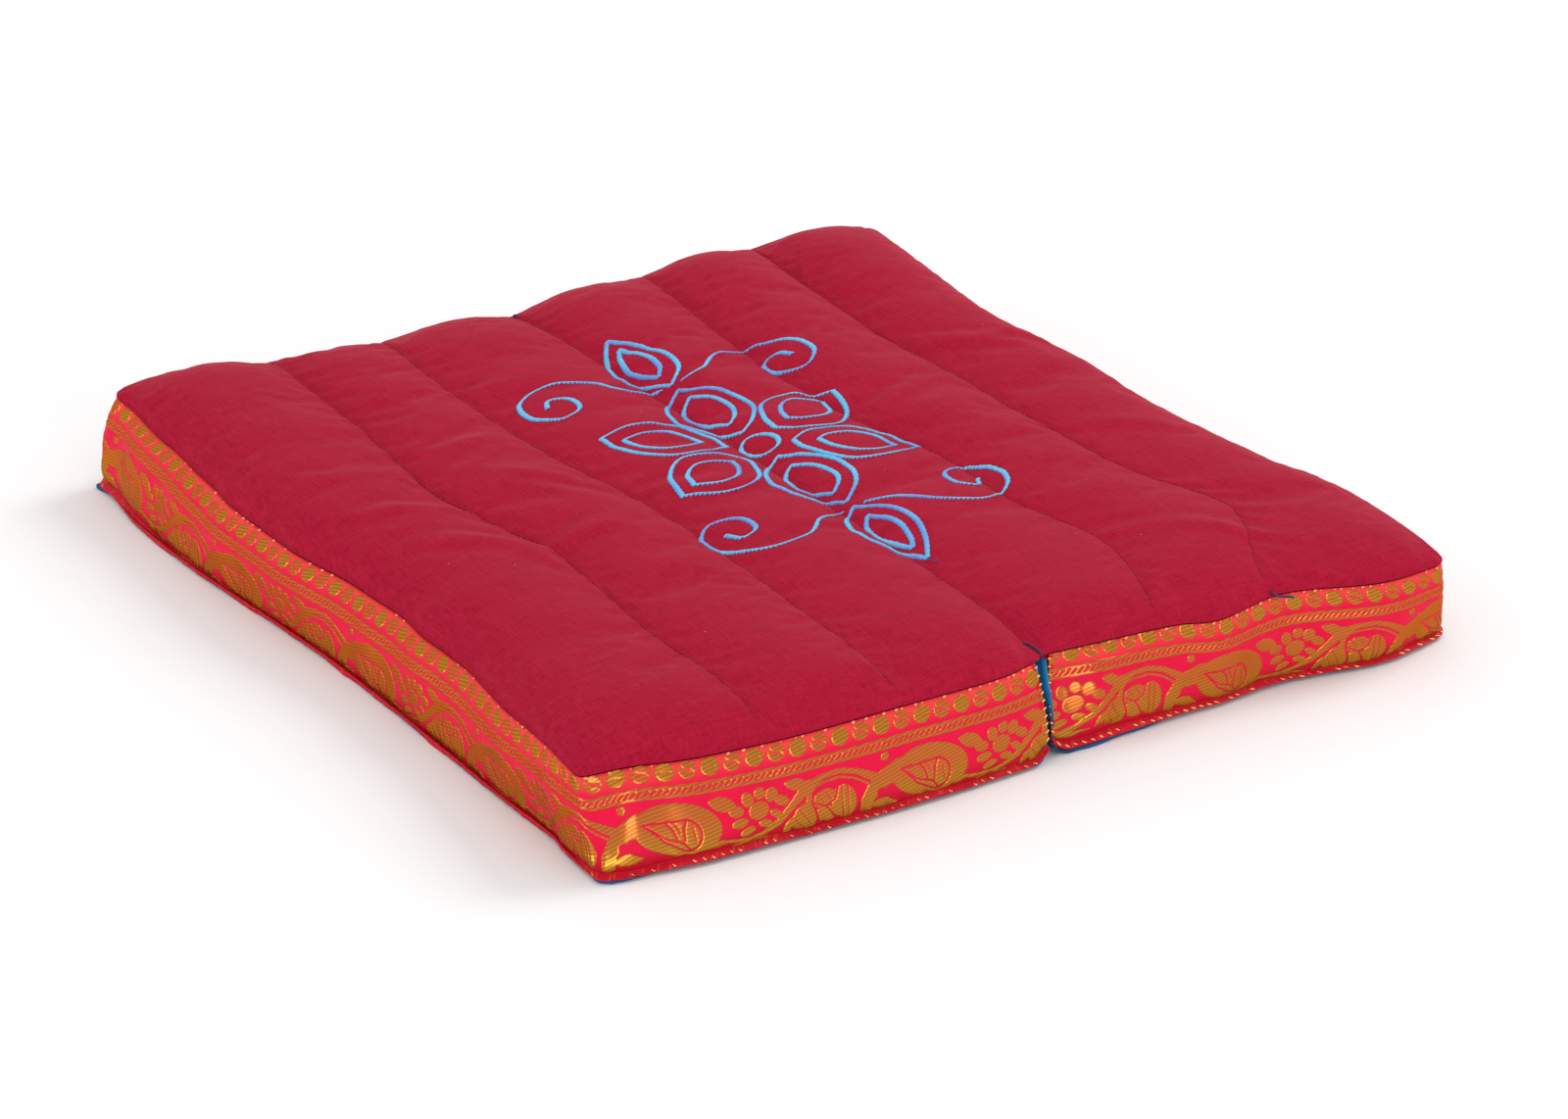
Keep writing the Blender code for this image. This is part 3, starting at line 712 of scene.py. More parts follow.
def dots_and_stripe(along, up):
    """The row of dots, every other one split by a slanting gap, and the cable between its two lines."""
    pitch = REPEAT / DOT_COUNT
    number = np.floor((along - DOT_START) / pitch + 0.5)
    dx, dy = along - DOT_START - number * pitch, up - DOT_MIDDLE
    dots = (1 - np.hypot(dx / (DOT_WIDTH / 2), dy / (DOT_HEIGHT / 2))) * DOT_WIDTH / 2
    split = np.abs(dy * SPLIT_UP + dx * SPLIT_ALONG - SPLIT_WAVE * np.sin(dx)) - SPLIT_HALF_WIDTH
    slit = np.maximum(np.abs(dy + SLIT_DROP) - SLIT_HALF_WIDTH, np.abs(dx) - SLIT_HALF_LENGTH)
    dots = np.minimum(dots, np.where(number % 2 == 0, split, slit))
    lines = STRIPE_LINE_WIDTH / 2 - np.abs(np.abs(up - STRIPE_MIDDLE) - STRIPE_LINE)
    slope = (along - (up - STRIPE_MIDDLE) * CABLE_SLANT) % CABLE_PITCH - CABLE_PITCH / 2
    bars = CABLE_BAR - np.abs(slope) * CABLE_STEEPNESS
    cable = np.minimum(bars, CABLE_HEIGHT / 2 - np.abs(up - STRIPE_MIDDLE))
    return np.maximum(dots, np.maximum(lines, cable))


def woven_figure(along, up):
    """Above 0, in millimetres from the nearest edge, where gold thread floats over the ground."""
    body = np.maximum(inside_any(PAISLEY_BODY, along, up), inside_limbs(PAISLEY_ARM, along, up))
    body = np.maximum(body, inside_any(PAISLEY_TIP, along, up))
    body = np.minimum(body, -inside_any(PAISLEY_EYE, along, up))
    hollow = inside_limbs(PAISLEY_HOLLOW, along, up)
    seeds = hollow - 0.75
    for vein in PAISLEY_VEINS:
        seeds = np.minimum(seeds, -inside_limbs(vein, along, up))
    paisley = np.maximum(np.minimum(body, -hollow), seeds)
    bud = np.maximum(inside_any(BUD, along, up), inside_any(BUD_HEART, along, up))
    for vein in BUD_VEINS:
        bud = np.minimum(bud, -inside_limbs(vein, along, up))
    others = inside_any(FLOWER, along, up)
    for figures in (SHOULDER_LEAF, VINE, VINE_LEAVES, ARCH_OVER, ARCH_UNDER, SPOT):
        others = np.maximum(others, inside_any(figures, along, up))
    row = np.maximum(np.maximum(paisley, bud), others)
    return np.maximum(row, dots_and_stripe(along, up))


def cut_out(field):
    """The part of a grid where a field is above 0, cut along its zero line in triangles.

    Each corner is given as two grid corners and the share of the way between them."""
    across, up = field.shape
    quads = grid_faces(across, up)
    triangles = np.concatenate([quads[:, [0, 1, 2]], quads[:, [0, 2, 3]]])
    values = field.ravel()[triangles]
    count = (values > 0).sum(1)
    whole = triangles[count == 3]
    corners = [(whole, whole)]
    for inside_count in (1, 2):
        some = triangles[count == inside_count]
        some_values = values[count == inside_count]
        lone = np.argmax((some_values > 0) == (inside_count == 1), axis=1)
        order = (lone[:, None] + np.arange(3)[None, :]) % 3
        p, q, r = np.take_along_axis(some, order, 1).T
        if inside_count == 1:
            corners.append((np.stack([p, p, p], 1), np.stack([p, q, r], 1)))
        else:
            corners.append((np.stack([p, q, r], 1), np.stack([q, q, r], 1)))
            corners.append((np.stack([p, r, p], 1), np.stack([q, r, r], 1)))
    starts = np.concatenate([pair[0] for pair in corners]).ravel()
    ends = np.concatenate([pair[1] for pair in corners]).ravel()
    low, high = np.minimum(starts, ends), np.maximum(starts, ends)
    keys, faces = np.unique(low.astype(np.int64) * field.size + high, return_inverse=True)
    low, high = keys // field.size, keys % field.size
    at_low, at_high = field.ravel()[low], field.ravel()[high]
    span = np.where(low == high, 1.0, at_high - at_low)
    share = np.where(low == high, 0.0, -at_low / span)
    return low, high, np.clip(share, 0, 1), faces.reshape(-1, 3)


# How open the twill is: in the split and in the whole dots, and at most in the figures, which open upwards
SPLIT_DOT_OPEN, WHOLE_DOT_OPEN, FIGURES_OPEN = 0.85, 0.1, 0.8
OPENS_FROM, OPENS_OVER = 5, 9
STRIPE_HALF = 3


def twill_openness(along, up):
    """How much of the ground shows between the floats: little in the seeds and whole dots, most of all in the
    cable."""
    number = np.floor((along - DOT_START) * DOT_COUNT / REPEAT + 0.5)
    dots = np.where(number % 2 == 0, SPLIT_DOT_OPEN, WHOLE_DOT_OPEN)
    figures = np.clip((up - OPENS_FROM) / OPENS_OVER, 0.0, FIGURES_OPEN)
    in_stripe = np.abs(up - STRIPE_MIDDLE) < STRIPE_HALF
    return np.where(in_stripe, 1.0, np.where(up > STRIPE_MIDDLE, dots, figures))


# A band pattern's period in Blender is 2 pi / 20 at scale 1. The floats are 1.4 mm apart, about three
# times as far as real ones, so that they show.
FLOAT_SPACING = 1.4
ZARI_WAVE = 2 * math.pi / 20 / FLOAT_SPACING
TWILL_SLANT = math.radians(-14)


def zari_thread():
    """Zari: gilt foil wound on a cotton core and laid in a slanting twill. Olive gold where it is dense,
    orange where the ground shows through. The threads lie along the band, so each place flashes yellow only
    where its turn faces between the eye and the light, over the whole height of the band."""
    material, shader = new_material(
        "gilt_zari_thread_twill",
        {"Metallic": 0.85, "Roughness": 0.25, "Anisotropic": 0.8, "Specular Tint": from_hex("#E0AC66")},
    )
    place = add(material, "Attribute", {}, "Vector", attribute_name="ribbon_place")
    openness = add(material, "SeparateXYZ", {"Vector": place}, "Z")
    slant = add(
        material,
        "Mapping",
        {"Vector": place, "Rotation": (0, 0, TWILL_SLANT), "Scale": (1.0, 1.0, 0.0)},
        "Vector",
    )
    floats = add(
        material,
        "TexWave",
        {"Vector": slant, "Scale": ZARI_WAVE, "Distortion": 0.6, "Detail": 1.0},
        "Fac",
        bands_direction="Y",
    )
    dense, open_twill = (
        add(material, "Mix", {FACTOR: floats, FIRST: dark, SECOND: light}, MIXED, data_type="RGBA")
        for dark, light in (("#A86822", "#C48532"), ("#BC582B", "#CC6D38"))
    )
    tone = add(
        material, "Mix", {FACTOR: openness, FIRST: dense, SECOND: open_twill}, MIXED, data_type="RGBA"
    )
    relief = add(material, "Bump", {"Height": floats, "Distance": 0.08 * MM, "Strength": 0.3}, "Normal")
    up_band = add(material, "Attribute", {}, "Vector", attribute_name="up_the_band")
    use(material, shader, {"Base Color": tone, "Normal": relief, "Tangent": up_band})
    return material


gilt_zari = zari_thread()
for half in (LEFT, RIGHT):
    route = ROUTES[half]
    distances = np.linspace(0, route.length, round(route.length / FIGURE_STEP))
    shares = np.linspace(FIGURE_FOOT, 1.0, round(FIGURE_HEIGHT / FIGURE_STEP))
    points = band_surface(route, distances[:, None], shares[None, :])
    normals = surface_normals(points)
    along, up = ribbon_place(route, distances, points)
    field = woven_figure(along, up)
    low, high, share, faces = cut_out(field)

    def between(values):
        flat = values.reshape(field.size, -1)
        return flat[low] + (flat[high] - flat[low]) * share[:, None]

    raised = np.clip(np.maximum(between(field), 0) / FIGURE_EDGE, 0, 1)
    raised = FIGURE_BASE + FIGURE_RAISED * np.sqrt(raised)
    figure = new_mesh(
        "band_zari_left" if half == LEFT else "band_zari_right",
        between(points) + between(normals) * raised,
        faces,
    )
    mark_places(figure, between(along), between(up), between(twill_openness(along, up)))
    up_band = between(np.gradient(points, axis=1))
    up_band /= np.linalg.norm(up_band, axis=-1, keepdims=True)
    keep_on_mesh(figure, "up_the_band", up_band)
    figure.data.materials.append(gilt_zari)
    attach(figure, "root")

# Top panel and filling: crimson cotton over both halves, sewn down along the fold and along two seams on
# each half, and packed with loose fibre, so the channels swell and soft ridges cross them.

LIP = 0.8 * MM
SLOT_TOP = 37.4 * MM
SLOT_REACH = 230 * MM
SLOT_ROWS = 46
EDGE_ROLL = 42 * MM
ROLL_POWER = 2.2
ARCH_POWER = 2.0
ARCH_SOFTNESS = 0.95
OUTER_CHANNEL = 2

# Channel seams in millimetres: how far the first and second seam of a half lie from the fold.
Seams = namedtuple("Seams", "along first second")
CHANNEL_SEAMS = {
    LEFT: (
        Seams(-195, 65, 120), Seams(-153, 64, 121), Seams(-103, 64, 125), Seams(-43, 63.5, 121),
        Seams(5, 66, 128), Seams(42, 69, 128), Seams(92, 71, 122.5), Seams(147, 71, 122),
        Seams(195, 66, 119),
    ),
    RIGHT: (
        Seams(-195, 51.5, 104), Seams(-178, 58.5, 111), Seams(-133, 69.5, 130), Seams(-83, 65, 124),
        Seams(-33, 68, 125), Seams(17, 59, 124.5), Seams(67, 58.5, 124.5), Seams(92, 60, 125),
        Seams(147, 65, 125.5), Seams(195, 70, 128),
    ),
}

# How high each channel's crest stands, in millimetres above the floor, from the fold outwards.
Crest = namedtuple("Crest", "along inner middle outer")
CHANNEL_CRESTS = {
    LEFT: (
        Crest(-195, 50, 51, 51), Crest(0, 50, 51, 51), Crest(130, 50, 50, 52), Crest(195, 50, 50, 53),
    ),
    RIGHT: (
        Crest(-195, 50, 50, 47), Crest(0, 50, 51, 49), Crest(130, 51, 53, 53), Crest(195, 51, 54, 54),
    ),
}

# How high the cloth lies where it is sewn down, in millimetres: in the crease over the fold, and along the
# channel seams, which grow shallow towards the near side.
SewnLine = namedtuple("SewnLine", "along fold channel")
SEWN_LINES = (
    SewnLine(-195, 40, 47.6), SewnLine(-172, 43.6, 47.4), SewnLine(-130, 45.2, 46.9),
    SewnLine(-60, 45.6, 46.4), SewnLine(60, 45, 45.8), SewnLine(150, 44, 45.2),
    SewnLine(195, 40.5, 44.6),
)

# Soft ridges that cross the channels where the filling has packed, in millimetres: the middle of each, the
# way it runs in degrees from +X, how far it reaches along and across, and how much it raises the cloth.
Ridge = namedtuple("Ridge", "x y turn reach width rise")
CROSS_RIDGES = (
    Ridge(-152, 57, -8, 20, 7, 0.9), Ridge(-150, 17, -15, 20, 7, 1), Ridge(-148, -20, -25, 24, 8, 1.6),
    Ridge(-128, -47, -70, 14, 6, 0.8), Ridge(-95, 64, 5, 14, 6, 1), Ridge(-89, 21, -42, 16, 6, 1.1),
    Ridge(-91, 4, -58, 18, 6, 0.9), Ridge(-108, -33, 5, 22, 6, 1.1), Ridge(-55, 110, -20, 12, 8, 0.8),
    Ridge(-40, -16, -15, 22, 9, 0.8), Ridge(86, 20, 20, 14, 6, 0.9), Ridge(108, -149, -33, 24, 7, 1.6),
    Ridge(142, 57, -30, 15, 7, 0.8), Ridge(155, -46, -35, 21, 7, 0.9),
)

# Fine puckers in the panel: along its outer seam, and beside the seams of the channels
EDGE_PUCKER = 0.35 * MM
EDGE_PUCKER_START, EDGE_PUCKER_REACH = 2 * MM, 9 * MM
SEAM_PUCKER = 0.22 * MM
SEAM_PUCKER_START, SEAM_PUCKER_REACH = 1.5 * MM, 7 * MM
INNER_CHANNEL_WIDTH, OUTER_CHANNEL_WIDTH = 58 * MM, 70 * MM
CREST_WANDER = 0.5 * MM

COLUMNS_IN_CHANNEL = 28
COLUMNS_IN_OUTER_CHANNEL = 40
ROWS = 211
# How far columns and rows are drawn to the seams and edges, from 0, evenly spaced, to 1
CROWDED_INNER, CROWDED_OUTER, CROWDED_ROWS = 0.6, 0.75, 0.7


def edge_roll(distance):
    """The share of the crown reached at a distance in from an edge: steep at the seam, level inside."""
    return np.sqrt(1 - (1 - np.clip(distance / EDGE_ROLL, 0, 1)) ** ROLL_POWER)


def channel_place(half, column, along):
    """The distance from the fold of a column, given as channel number plus share across that channel."""
    first, second = read_table(CHANNEL_SEAMS[half], along)
    seams = np.stack([np.zeros(first.shape), first, second, np.full(first.shape, HALF_WIDTH)])
    channel = np.minimum(np.floor(column).astype(int), OUTER_CHANNEL)
    start = np.take_along_axis(seams, channel[None], 0)[0]
    end = np.take_along_axis(seams, channel[None] + 1, 0)[0]
    return blend(start, end, column - channel)


def cross_ridges(x, y):
    rise = np.zeros(x.shape)
    for ridge in CROSS_RIDGES:
        turn = math.radians(ridge.turn)
        dx, dy = x / MM - ridge.x, y / MM - ridge.y
        along = (dx * math.cos(turn) + dy * math.sin(turn)) / ridge.reach
        across = (dy * math.cos(turn) - dx * math.sin(turn)) / ridge.width
        rise += ridge.rise * np.exp(-(along**2) - across**2)
    return rise * MM


def top_height(half, column, along, seam_height):
    """The height of the top panel over the columns of a half."""
    channel = np.minimum(np.floor(column).astype(int), OUTER_CHANNEL)
    share = column - channel
    crests = read_table(CHANNEL_CRESTS[half], along)
    crest = np.take_along_axis(crests, channel[None], 0)[0]
    crest = crest + CREST_WANDER * waves(along, (0.093, 0.051, 0.034), 1.1 + channel + 3 * half)
    arch = (1 - np.abs(2 * share - 1) ** ARCH_POWER) ** ARCH_SOFTNESS
    arch = np.where((channel == OUTER_CHANNEL) & (share > 0.5), 1.0, arch)
    fold_line, channel_line = read_table(SEWN_LINES, along)
    inner_line = np.where(channel == 0, fold_line, channel_line)
    filled = blend(blend(inner_line, channel_line, share), crest, arch)
    from_fold = channel_place(half, column, along)
    filled = filled + cross_ridges(half * from_fold, along)
    to_side, to_end = HALF_WIDTH - from_fold, HALF_LENGTH - np.abs(along)
    near_side = np.exp(-to_side / EDGE_PUCKER_REACH) * (1 - np.exp(-to_side / EDGE_PUCKER_START))
    near_end = np.exp(-to_end / EDGE_PUCKER_REACH) * (1 - np.exp(-to_end / EDGE_PUCKER_START))
    filled = filled + EDGE_PUCKER * near_side * waves(along + 0.3 * to_side, (0.0113, 0.0071, 0.019), 3.1)
    filled = filled + EDGE_PUCKER * near_end * waves(from_fold - 0.2 * to_end, (0.0127, 0.0083, 0.021), 1.9)
    width = np.where(channel == OUTER_CHANNEL, OUTER_CHANNEL_WIDTH, INNER_CHANNEL_WIDTH)
    for from_seam, seed in ((share * width, 0.7), ((1 - share) * width, 2.3)):
        near_seam = np.exp(-from_seam / SEAM_PUCKER_REACH) * (1 - np.exp(-from_seam / SEAM_PUCKER_START))
        near_seam = np.where((channel == OUTER_CHANNEL) & (share > 0.5), 0.0, near_seam)
        slant = along + 0.5 * from_seam
        filled = filled + SEAM_PUCKER * near_seam * waves(slant, (0.0137, 0.0089, 0.0231), seed + channel)
    roll = edge_roll(to_side) * edge_roll(to_end)
    return blend(seam_height + CLEARANCE + LIP, filled, roll)


def cushion_grid():
    """Columns and rows of the top, closer together at the seams and the edges."""
    inner = (1 - np.cos(np.linspace(0, math.pi, COLUMNS_IN_CHANNEL + 1))) / 2
    inner = blend(np.linspace(0, 1, COLUMNS_IN_CHANNEL + 1), inner, CROWDED_INNER)
    outer = (1 - np.cos(np.linspace(0, math.pi, COLUMNS_IN_OUTER_CHANNEL + 1))) / 2
    outer = blend(np.linspace(0, 1, COLUMNS_IN_OUTER_CHANNEL + 1), outer, CROWDED_OUTER)
    half_columns = np.concatenate([inner[:-1], 1 + inner[:-1], 2 + outer])
    rows = np.sin(np.linspace(-1, 1, ROWS) * math.pi / 2)
    rows = blend(np.linspace(-1, 1, ROWS), rows, CROWDED_ROWS) * HALF_LENGTH
    return np.concatenate([-half_columns[:0:-1], half_columns]), rows


def on_cushion(column, along, share, outset):
    """(x, y, seam height) over both halves."""
    found = []
    for half in (LEFT, RIGHT):
        from_fold = channel_place(half, np.abs(column), along)
        found.append(np.stack(plan(half, from_fold, along, share, outset)))
    return np.where(column < 0, found[0], found[1])


# The side of the filling, from its lip down: at what share of the height, how far out, and how much above
# the seam, in millimetres.
Level = namedtuple("Level", "share out lift")
SIDE_LEVELS = (
    Level(1, 0.35, 0.75), Level(1, 0.35, 0.4), Level(1, -0.6, 0.2), Level(0.97, -1.6, 0),
    Level(0.65, -1.3, 0), Level(0.32, -1.6, 0), Level(0.10, -2.6, 0), Level(0, -2.6, 0),
)

# Yarns and slubs to a millimetre: across the yarns, along them and through the cloth. The yarns are 0.6 mm
# apart, about twice as far as real ones, so that they show.
WARP_YARNS = (1.7 / MM, 0.14 / MM, 0.3 / MM)
WEFT_YARNS = (0.14 / MM, 1.7 / MM, 0.3 / MM)


def crimson_cotton_cloth():
    """Crimson cotton: a close plain weave with slubs and a short fuzz, which greys it at a slant."""
    material, shader = new_material(
        "crimson_cotton_plain_weave",
        {
            "Roughness": 0.9,
            "Sheen Weight": 0.3,
            "Sheen Roughness": 0.35,
            "Sheen Tint": from_hex("#E88A98"),
            "Specular IOR Level": 0.05,
        },
    )
    place = add(material, "TexCoord", {}, "Object")
    yarns = []
    for scale in (WARP_YARNS, WEFT_YARNS):
        yarn_place = add(material, "Mapping", {"Vector": place, "Scale": scale}, "Vector")
        yarns.append(add(material, "TexNoise", {"Vector": yarn_place, "Scale": 1.0}, "Fac"))
    weave = add(material, "Math", {0: yarns[0], 1: yarns[1]}, "Value", operation="ADD")
    slubs = add(material, "Math", {0: weave, 1: 1.3, 2: -0.8}, "Value", operation="MULTIPLY_ADD")
    tone = add(material, "Mix", {FACTOR: slubs, FIRST: "#930D27", SECOND: "#AE1A37"}, MIXED, data_type="RGBA")
    relief = add(material, "Bump", {"Height": weave, "Distance": 0.12 * MM, "Strength": 0.55}, "Normal")
    use(material, shader, {"Base Color": tone, "Normal": relief})
    return material


def top_grid():
    """The panel's grid: its columns, its places along the fold, and its points."""
    columns, rows = cushion_grid()
    column, along = np.meshgrid(columns, rows, indexing="ij")
    x, y, seam = on_cushion(column, along, 1.0, 0.0)
    top = np.where(
        column < 0,
        top_height(LEFT, np.abs(column), along, seam),
        top_height(RIGHT, np.abs(column), along, seam),
    )
    return column, along, np.stack([x, y, top], -1)


# The panel settles as cloth that is a little longer than its place, pressed up by the filling and held
# along every seam. Every second column and row of its grid is simulated.
SPARE_CLOTH = 0.008
FILLING_PRESSURE = 1.5
CLOTH_VERTEX_MASS = 0.01
SETTLING_FRAMES = 20
SETTLE_LIMIT = 1.4 * MM


def fill_between(values):
    """Puts a smooth in-between row after each row but the last."""
    wider = np.concatenate([values[:1], values, values[-1:]])
    full = np.empty((2 * len(values) - 1, *values.shape[1:]))
    full[::2] = values
    full[1::2] = (9 * (values[:-1] + values[1:]) - wider[:-3] - wider[3:]) / 16
    return full


def settle(column, points):
    """How far each point of the panel moves as its cloth settles, by Blender's cloth simulation."""
    coarse_column, coarse = column[::2, ::2], points[::2, ::2]
    across, rows = coarse_column.shape
    panel = new_mesh("settling_panel", coarse.reshape(-1, 3), grid_faces(across, rows))
    number = np.arange(across * rows).reshape(across, rows)
    sewn = np.isclose(coarse_column, np.round(coarse_column))
    sewn[:, [0, -1]] = True
    sewn[[0, -1], :] = True
    panel.vertex_groups.new(name="sewn").add(number[sewn].tolist(), 1.0, "REPLACE")
    cloth = panel.modifiers.new("settling", "CLOTH")
    cloth.settings.quality = 8
    cloth.settings.mass = CLOTH_VERTEX_MASS
    cloth.settings.tension_stiffness = 20
    cloth.settings.compression_stiffness = 20
    cloth.settings.shear_stiffness = 8
    cloth.settings.bending_stiffness = 0.6
    cloth.settings.vertex_group_mass = "sewn"
    cloth.settings.shrink_min = -SPARE_CLOTH
    cloth.settings.use_pressure = True
    cloth.settings.uniform_pressure_force = FILLING_PRESSURE
    cloth.settings.effector_weights.gravity = 0
    cloth.collision_settings.use_collision = False
    cloth.point_cache.frame_end = SETTLING_FRAMES
    for step in range(1, SETTLING_FRAMES + 1):
        bpy.context.scene.frame_set(step)
    settled = panel.evaluated_get(bpy.context.evaluated_depsgraph_get())
    places = np.empty(across * rows * 3)
    settled.data.vertices.foreach_get("co", places)
    bpy.data.objects.remove(panel)
    bpy.context.scene.frame_set(1)
    moved = places.reshape(coarse.shape) - coarse
    far = np.linalg.norm(moved, axis=-1, keepdims=True)
    moved = moved / (1 + far / SETTLE_LIMIT)
    return fill_between(fill_between(moved).swapaxes(0, 1)).swapaxes(0, 1)


def make_cushion_mesh():
    column, along, points = top_grid()
    points = points + settle(column, points)
    corners = [points.reshape(-1, 3)]
    faces = grid_faces(*column.shape).tolist()
    number = np.arange(column.size).reshape(column.shape)
    ring = np.concatenate([number[:, 0], number[-1, 1:], number[-2::-1, -1], number[0, -2:0:-1]])
    ring_column, ring_along = column.ravel()[ring], along.ravel()[ring]
    above = ring
    for level in SIDE_LEVELS:
        x, y, seam = on_cushion(ring_column, ring_along, level.share, level.out * MM)
        z = blend(FOOT, seam + CLEARANCE, level.share) + level.lift * MM
        below = np.arange(len(ring)) + sum(len(part) for part in corners)
        corners.append(np.stack([x, y, z], -1))
        faces += np.stack([below, np.roll(below, -1), np.roll(above, -1), above], 1).tolist()
        above = below
    faces.append(above[::-1].tolist())
    return new_mesh("cushion_crimson_top", np.concatenate(corners), faces)


def fold_wall_place(height):
    """How far the turned-up base cloth stands from the middle of the fold at a height."""
    return blend(FOLD_GAP_LOW, FOLD_GAP_HIGH, max(height - FOLD_BEND, 0) / (FOLD_TOP - FOLD_BEND))


def cut_fold_slot(cushion):
    """Takes the fold's slot out of the filling from below, and leaves the top panel over it."""
    heights = [-CLOTH, FOOT, FOLD_BEND, SLOT_TOP]
    cutter_mesh = bmesh.new()
    bmesh.ops.create_cube(cutter_mesh, size=1.0)
    for axis, cuts in ((2, len(heights) - 2), (1, SLOT_ROWS - 1)):
        across = [
            edge
            for edge in cutter_mesh.edges
            if abs(edge.verts[0].co[axis] - edge.verts[1].co[axis]) > 0.5
        ]
        bmesh.ops.subdivide_edges(cutter_mesh, edges=across, cuts=cuts, use_grid_fill=True)
    for vert in cutter_mesh.verts:
        height = heights[round((vert.co.z + 0.5) * (len(heights) - 1))]
        wide = fold_wall_place(height) + CLOTH + CLEARANCE
        if height < FOLD_BEND:
            wide += FOLD_BEND
        y = 2 * vert.co.y * SLOT_REACH
        wide += fold_gape(wide, y, min(1.0, height / FOLD_TOP))
        vert.co = (read_table(FOLD_LINE, y)[0] + 2 * vert.co.x * wide, y, height)
    cutter_data = bpy.data.meshes.new("fold_slot")
    cutter_mesh.to_mesh(cutter_data)
    cutter_mesh.free()
    cutter = new_object("fold_slot", cutter_data)
    cut = cushion.modifiers.new("fold slot", "BOOLEAN")
    cut.operation = "DIFFERENCE"
    cut.object = cutter
    evaluated = cushion.evaluated_get(bpy.context.evaluated_depsgraph_get())
    finished = bpy.data.meshes.new_from_object(evaluated)
    cushion.modifiers.clear()
    cushion.data = finished
    bpy.data.objects.remove(cutter)


crimson_cotton = crimson_cotton_cloth()
cushion = make_cushion_mesh()
cut_fold_slot(cushion)
cushion.data.materials.clear()
cushion.data.materials.append(crimson_cotton)
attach(cushion, "root")
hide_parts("cushion")

# Seam threads: the quilting down the fold and the channels, the loops of the overlocked top seam, the gold
# stitches that close the ribbon's foot, and the loops over its cut ends. Spun thread, sewn by machine.

THREAD_SIDES = 4
NO_THREAD_RUNS = (0.29, 0.17, 0.94)
SEWING_THREAD = 0.24 * MM
SEAM_STITCH = 3.0 * MM
SEAM_PITCH = 3.4 * MM
TOP_LOOP_PITCH = 4.2 * MM
FOOT_STITCH_PITCH = 3.8 * MM
END_LOOPS = 10
END_LOOPS_FROM, END_LOOPS_TO = 0.14, 0.95
END_LOOP_OVER = 0.3 * MM
LOOP_UNEVEN, STITCH_UNEVEN = 0.9 * MM, 0.8 * MM
LOOP_SWELL = 0.4
LOOPS_SHOW_ON_SIDE, LOOPS_SHOW_AT_END = 0.4, -0.35
BURIED_ON_SIDE, BURIED_LEFT, BURIED_RIGHT = 0.5 * MM, 0.25 * MM, 0.32 * MM
BURIED_FROM, BURIED_OVER = 50 * MM, 60 * MM
SINK_WAVE, SINK_UNEVEN = 0.35 * MM, 0.3 * MM
DEEPEST_SHOWN, MOST_PROUD = -0.4 * MM, 0.1 * MM
TOP_LOOP_THREAD, FOOT_THREAD, END_THREAD = 0.42 * MM, 0.32 * MM, 0.36 * MM

# The points of one stitch on a band: how far on along its route, in millimetres, at what share of its height,
# and how far out, in millimetres.
Point = namedtuple("Point", "ahead share out")
TOP_LOOP = (Point(0, 0.98, -0.2), Point(0.3, 0.99, 0.2), Point(0.7, 0.995, 0.2), Point(1, 0.985, -0.2))
FOOT_STITCH = (
    Point(0, 0.062, -0.3), Point(0.4, 0.055, 0.12), Point(1.2, 0.045, 0.12), Point(1.6, 0.04, -0.3),
)
END_LOOP = (Point(0.9, 0, -0.2), Point(0.5, 0.003, 0.25), Point(0, 0.006, 0.25), Point(0, 0.009, -0.5))


def make_threads(name, middles, radius, material):
    """Closed lengths of thread from their middle points, as an array (thread, point, xyz)."""
    count, rings, _ = middles.shape
    ahead = np.gradient(middles, axis=1)
    ahead /= np.linalg.norm(ahead, axis=-1, keepdims=True)
    side = np.cross(ahead, NO_THREAD_RUNS)
    side /= np.linalg.norm(side, axis=-1, keepdims=True)
    over = np.cross(side, ahead)
    turn = (np.arange(THREAD_SIDES) + 0.5) * 2 * math.pi / THREAD_SIDES
    round_it = side[:, :, None] * np.cos(turn)[:, None] + over[:, :, None] * np.sin(turn)[:, None]
    thick = np.broadcast_to(np.asarray(radius), (count, rings))
    corners = middles[:, :, None] + round_it * thick[:, :, None, None]
    number = np.arange(count * rings * THREAD_SIDES).reshape(count, rings, THREAD_SIDES)
    after = np.roll(number, -1, axis=2)
    walls = np.stack([number[:, :-1], after[:, :-1], after[:, 1:], number[:, 1:]], -1).reshape(-1, 4)
    faces = np.concatenate([walls, number[:, 0, ::-1], number[:, -1]])
    threads = new_mesh(name, corners.reshape(-1, 3), faces)
    share = np.broadcast_to(np.linspace(0, 1, rings)[None, :, None], number.shape)
    keep_on_mesh(threads, "along_stitch", share.ravel())
    threads.data.materials.append(material)
    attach(threads, "root")
    return threads


# Tufts of loose fibre to a millimetre of thread, and changes of shade to a millimetre of a shaded one
THREAD_FLUFF = 0.9
THREAD_SHADES = 0.034


